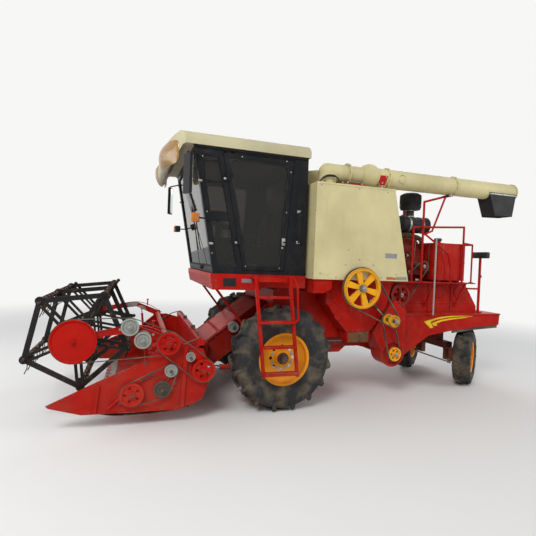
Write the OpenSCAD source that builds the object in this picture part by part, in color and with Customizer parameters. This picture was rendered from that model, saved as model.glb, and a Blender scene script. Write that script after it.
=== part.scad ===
// Self-propelled combine harvester with a grain header, a cab and a side unloading auger.
// +X is forward, +Y is the machine's left side and +Z is up. The ground is at Z = 0.
// Outlines are tables of [x, z]: x from the front axle, z from the top of the frame rails.

/* [Wheels] */
// Radius of a front tyre over its lugs
front_tyre_r = 650; // [630:5:670]
// Width of a front tyre
front_tyre_w = 400; // [360:5:410]
// Bead seat radius of a front rim
front_rim_r = 305; // [290:5:320]
// Distance between the centre planes of the front wheels
front_track = 1940; // [1920:5:1960]
// Height of a front lug
front_lug_h = 44; // [30:1:50]
// Lugs on each half of a front tyre
front_lugs = 16; // [12:1:18]
// Radius of a rear tyre over its lugs
rear_tyre_r = 440; // [425:5:445]
// Width of a rear tyre
rear_tyre_w = 270; // [240:5:280]
// Bead seat radius of a rear rim
rear_rim_r = 228; // [215:1:235]
// Height of a rear lug
rear_lug_h = 30; // [20:1:34]
// Lugs on each half of a rear tyre
rear_lugs = 13; // [10:1:15]
// Distance from the front axle back to the kingpins
wheelbase = 3180; // [3150:5:3210]
// Distance between the kingpins
kingpin_track = 800; // [780:5:820]
// Distance from a kingpin to the centre plane of its wheel
kingpin_offset = 200; // [196:1:206]
// Angle that the rear wheels are turned as the machine stands
steer_rest = 38; // [0:1:38]

/* [Frame and body] */
// Distance of the front axle ahead of the middle of the machine
axle_x = 450; // [400:5:500]
// Radius of the front axle tube
axle_tube_r = 72; // [60:1:80]
// Height of a frame rail
rail_h = 110; // [90:5:130]
// Width of a frame rail
rail_w = 60; // [40:5:70]
// Distance between the middles of the frame rails
rail_track = 1320; // [1300:5:1330]
// Width of the threshing body between the front wheels
core_w = 1420; // [1400:5:1430]
// Width of the threshing body behind the front wheels
wide_w = 2000; // [1960:5:2040]
// Height of the engine deck over the frame
deck_h = 785; // [770:5:800]
// Width of the rear straw body
straw_w = 1200; // [1150:5:1220]
// Width of the tail hood
hood_w = 1480; // [1440:5:1520]
// Sheet thickness of the tail hood
hood_wall = 14; // [8:1:20]
// Radius of the hole in the drawbar eye
hitch_r = 20; // [15:1:25]

/* [Grain tank] */
// Width of the grain tank
tank_w = 2360; // [2300:5:2380]
// Height of the grain tank panel
tank_h = 1200; // [1150:5:1220]
// Sheet thickness of the grain tank
tank_wall = 16; // [10:1:25]
// Width of the raised tank rim
rim_w = 1340; // [1300:5:1340]
// Height of the raised tank rim
rim_h = 225; // [180:5:260]

/* [Unloading auger] */
// Radius of the unloading tube
tube_r = 130; // [115:1:132]
// Height of the unloading tube over the tank panel
tube_lift = 200; // [195:1:215]
// Radius of the ball at the tube's swivel
ball_r = 172; // [170:1:176]
// Length of the unloading tube behind the swivel
tube_len = 2540; // [2400:10:2600]
// Side offset of the unloading tube from the middle plane
tube_y = 850; // [845:1:860]

/* [Cab] */
// Width of the cab
cab_w = 2060; // [2000:5:2100]
// Height of the cab walls
cab_h = 1450; // [1400:5:1480]
// Thickness of the cab walls and of the door
cab_wall = 40; // [30:1:50]
// Thickness of the glass
glass_t = 6; // [4:1:8]
// Thickness of the cab floor
floor_t = 60; // [50:5:80]
// Overhang of the roof beyond the cab sides
roof_over = 30; // [10:5:50]
// Gap round the door
door_gap = 6; // [5:1:8]

/* [Header] */
// Width between the header's end sheets
header_w = 2400; // [2380:5:2440]
// Thickness of the header's sheets
sheet_t = 12; // [8:1:14]
// Width of the feeder house
feeder_w = 900; // [860:5:920]
// Depth of the feeder house
feeder_h = 300; // [280:5:310]
// Radius of the header auger over its flights
auger_r = 250; // [230:5:255]
// Radius of the header auger's tube
auger_tube_r = 150; // [130:5:160]
// Spacing of the knife guards
guard_pitch = 76; // [70:1:90]

/* [Reel] */
// Radius of the circle that carries the reel's bats
reel_r = 525; // [500:5:530]
// Length of a reel bat
bat_len = 2190; // [2150:5:2200]
// Number of bats on the reel
bats = 5; // [5:1:5]
// Radius of a bat tube
bat_r = 22; // [18:1:24]
// Length of a reel tine
tine_len = 190; // [150:5:200]
// Spacing of the reel tines
tine_pitch = 150; // [120:5:180]
// Angle of the first bat as the machine stands
reel_phase = 48; // [40:1:56]
// Radius of the dished pulley on the reel's end
disc_r = 222; // [200:2:230]

/* [Hidden] */
$fn = 48;
run = 0.05;      // radial clearance of a turning fit
seat = 0.2;      // clearance of a seated piece
axle_z = front_tyre_r;
rail_z = axle_z + axle_tube_r;
top_z = rail_z + rail_h;
core_y = core_w / 2;
wide_y = wide_w / 2;
tank_y = tank_w / 2;
cab_y = cab_w / 2;
floor_z = 865;   // top of the cab floor over the frame
tank_z = 815;    // underside of the grain tank over the frame
deck_t = 16;
king_y = kingpin_track / 2;
hub_r = 60;
// The feeder's pivot and slope
lift = [100, 305];
feeder_drop = 36.87;
feeder_pin_r = 32;
// The header's fixed points
mouth_x = 1000;
arm_pivot = [1400, 85];
reel_c = [2338, 123];
auger_c = [1350, -335];
header_y = header_w / 2;
// The link that keeps the tines upright turns about this offset from the reel's shaft
control_off = [-58, 34];
swivel_x = -1215;
ball_flat = 160;
tube_z = tank_z + tank_h + tube_lift;
// The lift cylinders: side offset, pin radius, foot on the frame and eye on the feeder
cyl_y = 530;
pin_r = 18;
lift_base = [120, -415];
lift_eye = [900, -385];
// The reel cylinders: side offset, foot on the header and eye on the arm
reel_cyl_y = 1120;
reel_base = [1620, -135];
reel_eye = [1650, 165];

// Shapes that the parts share

function arc(c, r, a0, a1, n) =
    [for (i = [0:n]) c + r * [cos(a0 + (a1 - a0) * i / n), sin(a0 + (a1 - a0) * i / n)]];
function unit2(a) = [cos(a), sin(a)];
// Turn a point [x, z] about another, a positive angle lifting what lies ahead
function turned(p, about, a) = about + [
    (p - about)[0] * cos(a) - (p - about)[1] * sin(a),
    (p - about)[0] * sin(a) + (p - about)[1] * cos(a)];
// Angle of the outward normal of the belt run from one pulley to the next, anticlockwise
function run_angle(p, q) =
    atan2(q[0][1] - p[0][1], q[0][0] - p[0][0])
    - acos((p[1] - q[1]) / norm(q[0] - p[0]));
// Outline of a belt round pulleys listed as [centre, radius], anticlockwise
function belt_line(list, off) = [
    for (i = [0:len(list) - 1])
        let (n = len(list), p = list[i],
            a0 = run_angle(list[(i + n - 1) % n], p), a1 = run_angle(p, list[(i + 1) % n]),
            sweep = ((a1 - a0) % 360 + 360) % 360)
        for (k = [0:16]) p[0] + (p[1] + off) * unit2(a0 + sweep * k / 16)];

// Axle frame, with z from the ground, and body frame, with z from the top of the rails
module at_axle() { translate([axle_x, 0, 0]) children(); }
module on_frame() { translate([axle_x, 0, top_z]) children(); }
// Side outline of [x, z] between two widths
module slab(y0, y1, points) {
    translate([0, y1, 0]) rotate([90, 0, 0]) linear_extrude(y1 - y0) polygon(points);
}
// The same slab on both sides
module slabs(y0, y1, points) { slab(y0, y1, points); slab(-y1, -y0, points); }
module box(low, high) { translate(low) cube(high - low); }
module boxes(low, high) { box(low, high); mirror([0, 1, 0]) box(low, high); }
// Round bar across the machine at [x, z]
module across(c, y0, y1, r, fn = $fn) {
    translate([c[0], y0, c[1]]) rotate([-90, 0, 0]) cylinder(r = r, h = y1 - y0, $fn = fn);
}
// Round bar between two points
module bar(p, q, r, fn = 20) {
    v = q - p;
    translate(p) rotate([0, acos(v[2] / norm(v)), atan2(v[1], v[0])])
        cylinder(r = r, h = norm(v), $fn = fn);
}
// Bent tube through a list of points
module bent(points, r) {
    for (i = [1:len(points) - 1]) bar(points[i - 1], points[i], r);
    for (i = [1:len(points) - 2]) translate(points[i]) sphere(r * 1.03, $fn = 20);
}
// Body turned from [radius, width] round an axis across the machine at [x, z]
module turned_across(c, y, profile) {
    translate([c[0], y, c[1]]) rotate([-90, 0, 0]) rotate_extrude() polygon(profile);
}
module belt(list, y0, y1, t = 9) {
    difference() {
        slab(y0, y1, belt_line(list, seat + t));
        slab(y0 - 1, y1 + 1, belt_line(list, seat));
        for (p = list) across(p[0], y0 - 1, y1 + 1, p[1] + seat);
    }
}
// Pulley with a groove, a web with round holes or spokes, and a hub
module pulley(c, r, y0, y1, holes = 0, hole_r = 20, bore = 0) {
    w = y1 - y0;
    difference() {
        turned_across(c, y0, [[bore, 0], [r, 0], [r, w * 0.62], [r * 0.82, w * 0.62],
            [r * 0.8, w * 0.3], [r * 0.34, w * 0.3], [r * 0.3, w], [bore, w]]);
        if (holes > 0) for (i = [0:holes - 1]) rotate_at(c, i * 360 / holes)
            across([r * 0.57, 0], y0 - 1, y1 + 1, hole_r, 24);
    }
}
// Turn about an axis across the machine at [x, z]
module rotate_at(c, a) { translate([c[0], 0, c[1]]) rotate([0, -a, 0]) children(); }

// Wheels. A wheel is drawn at the origin, standing, with its outer side to +Y.

module tyre(r, w, rim, lug_h, lugs) {
    low = r - lug_h;
    half = w / 2;
    wall = low - rim;
    bead = half * 0.72 - 1;
    flank = [[rim + seat, bead], [rim + 24, bead], [rim + 24, half * 0.78],
        [rim + wall * 0.24, half * 0.88], [rim + wall * 0.5, half * 0.97],
        [rim + wall * 0.8, half * 0.9], [low, half * 0.62]];
    rotate([-90, 0, 0]) rotate_extrude($fn = 60)
        for (s = [0, 1]) mirror([0, s]) polygon(concat([[rim + seat, 0]], flank, [[low, 0]]));
    // A lug is an outline of [width, radius] across half the tread, turned to a chevron
    slant = 33;
    lug = [[-6, low - 12], [-6, r], [half * 0.7, r - 8], [half * 0.98, rim + wall * 0.84],
        [half * 1.03, rim + wall * 0.58], [half * 0.94, rim + wall * 0.5]];
    for (side = [0, 1], i = [0:lugs - 1])
        rotate([0, (i + side / 2) * 360 / lugs, 0]) mirror([0, side, 0])
            rotate([0, 0, slant]) translate([lug_h * 0.5, 0, 0]) rotate([90, 0, -90])
            mirror([1, 0, 0]) linear_extrude(lug_h)
            polygon([for (p = lug) [p[0] / (p[0] > 0 ? cos(slant) * 1.12 : 1), p[1]]]);
}
module rim(r, w, hub_out, bore, hub_y, disc_y, holes) {
    half = w / 2;
    t = 10;
    difference() {
        rotate([-90, 0, 0]) rotate_extrude($fn = 60) polygon([
            [r - t, -half * 0.72], [r + 20, -half * 0.72 - 8], [r + 20, -half * 0.72 - 1],
            [r, -half * 0.72], [r, half * 0.72], [r + 20, half * 0.72 + 1],
            [r + 20, half * 0.72 + 8], [r - t, half * 0.72], [r - t, disc_y + 30],
            [r * 0.62, disc_y + t], [hub_out, disc_y + t], [hub_out, hub_y], [bore, hub_y],
            [bore, disc_y - 40], [hub_out, disc_y - 40], [hub_out, disc_y],
            [r * 0.64, disc_y], [r - t, disc_y + 16]]);
        for (i = [0:holes - 1]) rotate([0, i * 360 / holes, 0]) translate([r * 0.48, 0, 0])
            rotate([90, 0, 0]) cylinder(r = r * 0.065, h = 400, center = true, $fn = 24);
    }
}
module front_wheel_place(side) {
    at_axle() translate([0, side * front_track / 2, axle_z])
        mirror([0, side < 0 ? 1 : 0, 0]) children();
}
// Front rims and tyres
front_disc = 40;
front_hub = 86;
module front_rim() { color("orange")
    rim(front_rim_r, front_tyre_w, 95, hub_r + run, front_hub, front_disc, 8); }
module front_tyre() { color("#2b2b2b")
    tyre(front_tyre_r, front_tyre_w, front_rim_r, front_lug_h, front_lugs); }
module front_rim_left() { front_wheel_place(1) front_rim(); }
module front_rim_right() { front_wheel_place(-1) front_rim(); }
module front_tyre_left() { front_wheel_place(1) front_tyre(); }
module front_tyre_right() { front_wheel_place(-1) front_tyre(); }

// Rear steered wheels. A knuckle stands at its kingpin, its wheel straight ahead, outer side +Y.

king_r = 24;
spindle_r = 32;
arm_x = 150;
rod_r = 13;
module knuckle_place(side) {
    at_axle() translate([-wheelbase, side * king_y, rear_tyre_r]) rotate([0, 0, steer_rest])
        mirror([0, side < 0 ? 1 : 0, 0]) children();
}
module rear_rim() { color("orange")
    rim(rear_rim_r, rear_tyre_w, 62, spindle_r + run, 60, 10, 6); }
module rear_tyre() { color("#2b2b2b")
    tyre(rear_tyre_r, rear_tyre_w, rear_rim_r, rear_lug_h, rear_lugs); }
module rear_rim_left() { knuckle_place(1) translate([0, kingpin_offset, 0]) rear_rim(); }
module rear_rim_right() { knuckle_place(-1) translate([0, kingpin_offset, 0]) rear_rim(); }
module rear_tyre_left() { knuckle_place(1) translate([0, kingpin_offset, 0]) rear_tyre(); }
module rear_tyre_right() { knuckle_place(-1) translate([0, kingpin_offset, 0]) rear_tyre(); }
// Boss on the kingpin, spindle with its end washer, and steering arm with a pin for the tie rod
yoke_h = 75;
module knuckle(side) {
    color("#a01818") {
        difference() {
            translate([0, 0, -yoke_h]) cylinder(r = 44, h = 2 * yoke_h);
            translate([0, 0, -200]) cylinder(r = king_r + run, h = 400);
        }
        translate([0, 40, 0]) rotate([-90, 0, 0]) cylinder(r = spindle_r,
            h = kingpin_offset + 75 - 40);
        translate([0, kingpin_offset + 61, 0]) rotate([-90, 0, 0]) cylinder(r = 42, h = 11);
        translate([0, 40, 0]) rotate([-90, 0, 0]) cylinder(r = 50,
            h = kingpin_offset + 10 - 40 - 40 - 2);
        difference() {
            translate([0, -26, -yoke_h]) cube([arm_x + 20, 52, 22]);
            translate([0, 0, -200]) cylinder(r = king_r + run, h = 400);
        }
        translate([arm_x, 0, -yoke_h - 40]) cylinder(r = rod_r, h = 42);
    }
}
module knuckle_left() { knuckle_place(1) knuckle(); }
module knuckle_right() { knuckle_place(-1) knuckle(); }
// The rod's left eye turns on the left arm's pin, the right eye has play round its pin
module tie_rod() {
    at_axle() translate([-wheelbase + arm_x * cos(steer_rest), arm_x * sin(steer_rest),
        rear_tyre_r - yoke_h - 38]) color("#3a3a3a") {
        for (side = [1, -1]) translate([0, side * king_y, 0]) difference() {
            cylinder(r = rod_r + 14, h = 30);
            translate([0, 0, -5]) cylinder(r = rod_r + (side > 0 ? run : 1), h = 60);
        }
        translate([0, -king_y + rod_r + 10, 15]) rotate([-90, 0, 0])
            cylinder(r = 11, h = 2 * (king_y - rod_r - 10), $fn = 24);
    }
}
// Beam with a centre block under the frame and a fork with a kingpin at each end
module rear_axle() { color("#a01818") at_axle() translate([-wheelbase, 0, rear_tyre_r]) {
    fork = yoke_h + 2;
    for (side = [1, -1]) translate([0, side * king_y, 0]) {
        for (z = [-fork - 26, fork]) translate([0, 0, z]) cylinder(r = 46, h = 26);
        translate([0, 0, -fork - 30]) cylinder(r = king_r, h = 2 * fork + 60);
    }
    // The beam passes over the knuckles, with a web that joins the lower fork plates
    box([-38, -king_y, fork], [38, king_y, fork + 26]);
    for (side = [-1, 1]) mirror([0, side < 0 ? 1 : 0, 0]) {
        box([-38, king_y - 140, -fork - 26], [38, king_y - 80, fork + 5]);
        box([-38, king_y - 140, -fork - 26], [38, king_y, -fork]);
    }
    box([-70, 60 - king_y, fork + 20], [70, king_y - 60, fork + 110]);
    box([-90, -110, fork + 100], [90, 110, top_z + 65 - rear_tyre_r - seat]);
} }

// Frame and axle

rear_rise = [65, 155];
module chassis_frame() { color("#8e1414") on_frame() {
    y = rail_track / 2;
    rail = [[230, -rail_h], [-1850, -rail_h], [-2350, rear_rise[0]], [-3440, rear_rise[0]],
        [-3440, rear_rise[1]], [-2310, rear_rise[1]], [-2024, 0], [230, 0]];
    slabs(y - rail_w / 2, y + rail_w / 2, rail);
} }
// Cross members between the rails, with the drawbar eye and the feet of the lift cylinders
module chassis_members() { color("#8e1414") on_frame() {
    y = rail_track / 2 - rail_w / 2 - seat;
    for (x = [-3300, -3060, -2450]) box([x, -y, rear_rise[0]], [x + 80, y, rear_rise[1]]);
    box([-3300, -120, rear_rise[0]], [-2980, 120, rear_rise[1]]);
    box([150, -y, -rail_h + 10], [220, y, -10]);
    // Drawbar eye at the rear
    difference() {
        box([-3560, -60, rear_rise[0] + 20], [-3290, 60, rear_rise[0] + 50]);
        translate([-3515, 0, 0]) cylinder(r = hitch_r, h = 400);
    }
    // Brackets that carry the lift cylinders
    for (side = [-1, 1]) translate([0, side * cyl_y, 0]) {
        for (s = [0, 1]) mirror([0, s, 0]) slab(39, 53, concat([[200, -10], [80, -10]],
            arc(lift_base, 40, 180, 360, 8)));
        across(lift_base, -53, 53, pin_r);
    }
} }
module front_axle() { color("#7a1212") at_axle() translate([0, 0, axle_z]) {
    end = front_track / 2;
    across([0, 0], -end + 190, end - 190, axle_tube_r - seat);
    // Gear case in the middle and final drives inside the rims
    turned_across([0, 0], -170, [[0, 0], [110, 0], [150, 60], [150, 220], [110, 280], [0, 280]]);
    for (side = [-1, 1]) mirror([0, side < 0 ? 1 : 0, 0]) {
        across([0, 0], end - 200, end - 70, 150);
        across([0, 0], end - 80, end + 78, hub_r);
        across([0, 0], end + front_hub + 1, end + front_hub + 16, hub_r + 12);
        across([0, 0], end + 70, end + front_hub + 4, hub_r - 20);
    }
} }

// Body

// Side outline of the wide part behind the front wheels, and of the tailings housing behind it
wide_low = [[-580, 785], [-580, 515], [-890, 125], [-1262, 125], [-1500, 465], [-1570, 785]];
tail_drum = [-1612, -182];
drum_r = 176;
module threshing_body() { color("#c8201c") on_frame() {
    rise = deck_h - 785;
    difference() {
        union() {
            slab(-core_y, core_y, [[40, seat], [40, 640], [-180, deck_h], [-2020, deck_h],
                [-2020, seat]]);
            slabs(core_y - 1, wide_y, [for (p = wide_low) [p[0], p[1] + (p[1] > 700 ? rise : 0)]]);
        }
        across(lift, -feeder_w / 2 - 20, feeder_w / 2 + 20, feeder_h / 2 + 12);
    }
    // Bearing plates of the feeder house
    difference() {
        slabs(feeder_w / 2 + 25, feeder_w / 2 + 55, concat([[39, 430]], arc(lift, 62, 60, -60, 6),
            [[39, 200]]));
        across(lift, -core_y, core_y, feeder_pin_r + run);
    }
    // Cleaning shoe between the rails, with the two auger troughs
    shoe_y = rail_track / 2 - rail_w / 2 - 12;
    slab(-shoe_y, shoe_y, [[-420, 1], [-700, -150], [-820, -230], [-1010, -230], [-1100, -150],
        [-1300, -150], [-1520, -200], [-1700, -200], [-1830, -90], [-2020, -60], [-2020, 1]]);
    // Sump under the wide part, and the skirt under the front of the tank
    slabs(wide_y - 200, wide_y - 4, [[-905, 126], [-920, -25], [-1240, -25], [-1255, 126]]);
    slabs(core_y - 1, tank_y - 30, [[-330, tank_z - seat], [-330, 640], [-470, 640],
        [-581, 700], [-581, tank_z - seat]]);
    slab(-core_y, core_y, [[-330, deck_h - 1], [-330, tank_z - seat], [-1560, tank_z - seat],
        [-1560, deck_h - 1]]);
    slabs(core_y - 1, wide_y, [[-580, deck_h - 1], [-580, tank_z - seat],
        [-1560, tank_z - seat], [-1560, deck_h - 1]]);
    // Tailings housing: a flat case down to a drum on the outer end of the cross auger
    difference() {
        union() {
            slab(core_y - 1, wide_y + 20, [[-1290, 105], [-1527, 465], [-1620, 545],
                [-1800, 400], [-1800, -130], [-1760, -182], [-1470, -182], [-1340, 20]]);
            across(tail_drum, wide_y - 240, wide_y + 18, drum_r);
        }
        across(tail_drum, wide_y - 20, wide_y + 40, drum_r - 26);
    }
    across(tail_drum, -wide_y + 60, wide_y - 230, 68);
    across(tail_drum, wide_y - 30, wide_y + 108, 20);
    for (a = [30, 150, 270]) rotate_at(tail_drum, a)
        box([0, wide_y - 21, -12], [drum_r - 20, wide_y - 9, 12]);
} }
// Rear body that carries the engine, with a sloping back
module straw_body() { color("#b51d1a") on_frame() {
    y = straw_w / 2;
    slab(-y, y, [[-2020 - seat, rear_rise[1] + seat], [-2020 - seat, deck_h + 1],
        [-3190, deck_h + 1], [-3440, 420], [-3440, rear_rise[1] + seat]]);
    // Deck plate with a slot for the engine's belt, and the ribs on the sides
    difference() {
        box([-3160, -y - 240, deck_h + seat], [-1700, y + 250, deck_h + deck_t]);
        box([-2400, core_y + 5, deck_h - 1], [-1740, core_y + 58, deck_h + deck_t + 1]);
    }
    slabs(y - 1, y + 12, [[-2500, 330], [-2500, deck_h - 6], [-2530, deck_h - 6],
        [-2530, 330]]);
    slabs(y - 1, y + 12, [[-2920, 330], [-2920, deck_h - 6], [-2950, deck_h - 6],
        [-2950, 330]]);
    for (side = [0, 1]) mirror([0, side, 0]) for (x = [-2440, -3000]) bar([x, y + 5, 420],
        [x, y + 220, deck_h + 5], 18);
} }
// Hood over the chaff outlet: two side sheets under a top sheet, open below and behind
module tail_hood() { color("#c8201c") on_frame() {
    y = hood_w / 2;
    top = 320;
    side = [[-1990, top], [-3790, top], [-3775, 140], [-3330, 112], [-2870, 62], [-2440, -5],
        [-2350, -60], [-2040, -260], [-1990, -290], [-1800.3, -130], [-1800.3, top]];
    slabs(y - hood_wall, y, side);
    difference() {
        box([-3790, -y, top - hood_wall], [-2021, y, top]);
        box([-3441, -straw_w / 2 - 1, top - 60], [-2000, straw_w / 2 + 1, top + 10]);
    }
    // Folded lip along the top of each side, the pole's foot, and straps to the frame rails
    box([pole[0] - 30, y - 1, 304], [pole[0] + 30, pole[1] + 16, 318]);
    slabs(y - hood_wall, y + 12, [[-3790, top], [-3790, top - 24], [-1990, top - 24],
        [-1990, top]]);
    for (x = [-2400, -3200]) boxes([x, rail_track / 2 + rail_w / 2 + seat, rear_rise[0] + 20],
        [x + 60, y - 1, rear_rise[1] - 20]);
} }
// Hollow tank with a raised open rim, two filler pipes under the roof and the auger's riser
tank_x = [-310, -1430, -1690];
module grain_tank() { color("#e3d9a6") on_frame() {
    z0 = tank_z;
    z1 = tank_z + tank_h;
    w = tank_wall;
    outline = [[tank_x[0], z0], [tank_x[0], z1], [tank_x[1], z1], [tank_x[2], z0]];
    inner = [[tank_x[0] - w, z0 + 260], [tank_x[0] - w, z1 - w],
        [tank_x[1] + w * 0.8, z1 - w], [tank_x[2] + 85, z0 + 260], [-1250, z0 + w],
        [-700, z0 + w]];
    rim_x = [-345, -1290];
    difference() {
        union() {
            slab(-tank_y, tank_y, outline);
            box([rim_x[1], -rim_w / 2, z1 - 1], [rim_x[0], rim_w / 2, z1 + rim_h]);
        }
        slab(-tank_y + w, tank_y - w, inner);
        box([rim_x[1] + w, -rim_w / 2 + w, z1 - 2 * w],
            [rim_x[0] - w, rim_w / 2 - w, z1 + rim_h + 1]);
    }
    // Riser, elbow and the short pipe that leads to the swivel
    pipe = tube_r - 12;
    riser_x = -600;
    difference() {
        union() {
            translate([riser_x, tube_y, z0 + 100]) cylinder(r = pipe, h = tube_z - z0 - 100);
            translate([riser_x, tube_y, tube_z]) sphere(pipe + 4);
            translate([riser_x, tube_y, tube_z]) rotate([0, -90, 0])
                cylinder(r = pipe, h = riser_x - swivel_x);
            translate([riser_x - 270, tube_y, tube_z]) rotate([0, -90, 0])
                cylinder(r = pipe + 26, h = 24);
            translate([riser_x, tube_y, z1 - 4]) cylinder(r = pipe + 26, h = 20);
        }
        translate([swivel_x, tube_y, tube_z]) sphere(ball_r + 6);
        translate([swivel_x - 200, tube_y - 200, tube_z - 300]) cube([200, 400, 600]);
    }
    // Seat of the swivel's pin
    difference() {
        translate([swivel_x, tube_y, z1 - 2]) cylinder(r = 66, h = tube_lift - ball_flat + 2 - 2 * seat);
        translate([swivel_x, tube_y, z1 - 40]) cylinder(r = 30 + run, h = 80);
    }
    // Foot and pin for the swing cylinder's barrel
    translate([swing_base[0] - 30, swing_base[1] - 24, z1 - 2]) cube([60, 48, 8]);
    translate([swing_base[0], swing_base[1], z1]) cylinder(r = swing_pin_r, h = 62);
    // Folded edges round the side panels
    for (side = [0, 1]) mirror([0, side, 0]) {
        slab(tank_y - 1, tank_y + 5, [[tank_x[0], z0], [tank_x[0], z1], [tank_x[0] - 26, z1],
            [tank_x[0] - 26, z0]]);
        slab(tank_y - 1, tank_y + 5, [[tank_x[0] - 26, z1], [tank_x[0] - 26, z1 - 22],
            [tank_x[1] - 4, z1 - 22], [tank_x[1], z1]]);
    }
} }
// Pin of the barrel on the tank's roof, and the rod's bolt under the tube's gusset, as [x, y]
swing_base = [swivel_x + 460, tube_y + 150];
swing_eye = [swivel_x - 140, tube_y + 120];
swing_pin_r = 11;
swing_z = tank_z + tank_h + 34;
// Clean grain elevator on the right, from the cross auger up into the tank
module grain_elevator() { color("#c8201c") on_frame() {
    y = -wide_y - 2 * seat;
    foot = [-960, 20];
    head = [-1105, tank_z - 2 * seat];
    // Half the case's width along X, and its outline from the drum up to the tank
    half = 118;
    slab(y - 170, y, [foot + [half, 20], head + [half, 0], head - [half, 0], foot - [half, 20]]);
    across(foot, y - 170, y, 136);
    across(foot, y - 190, y - 169, 40);
} }
// Platform under the cab: floor frame, red apron and the skirt behind the ladder
ladder_y = 1282;
apron = [[935, 845], [935, 790], [905, 655], [330, 655], [290, 690], [-260, 690], [-260, 845]];
module platform() { color("#d41f1c") on_frame() {
    y = cab_y + 22;
    t = 18;
    slabs(y - t, y, apron);
    // Deck under the cab, low in front and resting on the body behind
    under = floor_z - floor_t - seat;
    box([-135, -y + t - 1, under - 42], [925, y - t + 1, under]);
    box([-260, -y + t - 1, deck_h + seat], [-130, y - t + 1, under]);
    // Front apron, narrower at its foot
    slab(-y, y, [[935, 845], [935, 790], [905, 655], [885, 655], [915, 790], [915, 845]]);
    // Stays down to the rails, and the walkway with its edge beside the ladder
    for (side = [0, 1]) mirror([0, side, 0]) {
        bar([890, 600, under - 30], [252, 655, -40], 16);
        box([230 + seat, 630, -90], [244, 690, -12]);
    }
    box([10, cab_y + 20, 800], [450, ladder_y - 20, 818]);
    box([10, ladder_y - 32, 770], [450, ladder_y - 20, 818]);
} }
// Ladder with two stiles, four treads and handrails
module ladder() { color("#d93434") on_frame() {
    y = ladder_y;
    top = 845;
    foot = -345;
    lean = 145;
    for (x = [20, 440]) {
        slab(y - 20, y + 20, [[x, top], [x + 34, top], [x + 34 - lean, foot], [x - lean, foot]]);
    }
    // Columns: height of the tread, depth of the tread
    for (t = [[580, 60], [290, 90], [-5, 90], [-320, 120]]) {
        x = 20 - lean * (top - t[0]) / (top - foot);
        box([x + 10, y - t[1] / 2, t[0]], [x + 444, y + t[1] / 2, t[0] + 26]);
    }
    for (x = [22, 442]) box([x + 2, y - 20, 780], [x + 26, y - 10, 812]);
    // Handrail behind the ladder, down to the third tread
    bent([[40, y, 830], [-10, y, 820], [-66, y, 700], [-92, y, 330], [-40, y, 290]], 14);
} }

// Cab

// Front edge of the cab and of the door, which lean forward with height
function front_x(z) = 910 + (z - floor_z) * 0.18;
function post_x(z) = 540 + (z - floor_z) * 0.216;
cab_rear = -250;
cab_top = floor_z + cab_h;
// A four-sided outline between two heights, inset from a front line and a rear line
function pane(z0, z1, f0, f1, r0, r1) = [[f0, z0], [f1, z1], [r1, z1], [r0, z0]];
door_z = [floor_z + 22, cab_top - 48];
door_rear = [22, -62];
door_line = pane(door_z[0], door_z[1], post_x(door_z[0]), post_x(door_z[1]),
    door_rear[0], door_rear[1]);
// The same outline moved in by a gap or a border
function door_in(g) = pane(door_z[0] + g, door_z[1] - g, post_x(door_z[0] + g) - g,
    post_x(door_z[1] - g) - g, door_rear[0] + g, door_rear[1] + g);
// Front side pane, windscreen and rear pane
function side_pane(g) = pane(floor_z + 70 + g, cab_top - 90 - g, front_x(floor_z + 70) - 70 - g,
    front_x(cab_top - 90) - 70 - g, post_x(floor_z + 70) + 62 + g, post_x(cab_top - 90) + 62 + g);
screen_z = [floor_z + 60, cab_top - 80];
screen_y = cab_y - 80;
rear_z = [floor_z + 900, cab_top - 130];
rear_y = 620;
module screen(x_out, x_in, g) {
    slab(-screen_y + g, screen_y - g, [[front_x(screen_z[0] + g) + x_out, screen_z[0] + g],
        [front_x(screen_z[1] - g) + x_out, screen_z[1] - g],
        [front_x(screen_z[1] - g) + x_in, screen_z[1] - g],
        [front_x(screen_z[0] + g) + x_in, screen_z[0] + g]]);
}
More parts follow.
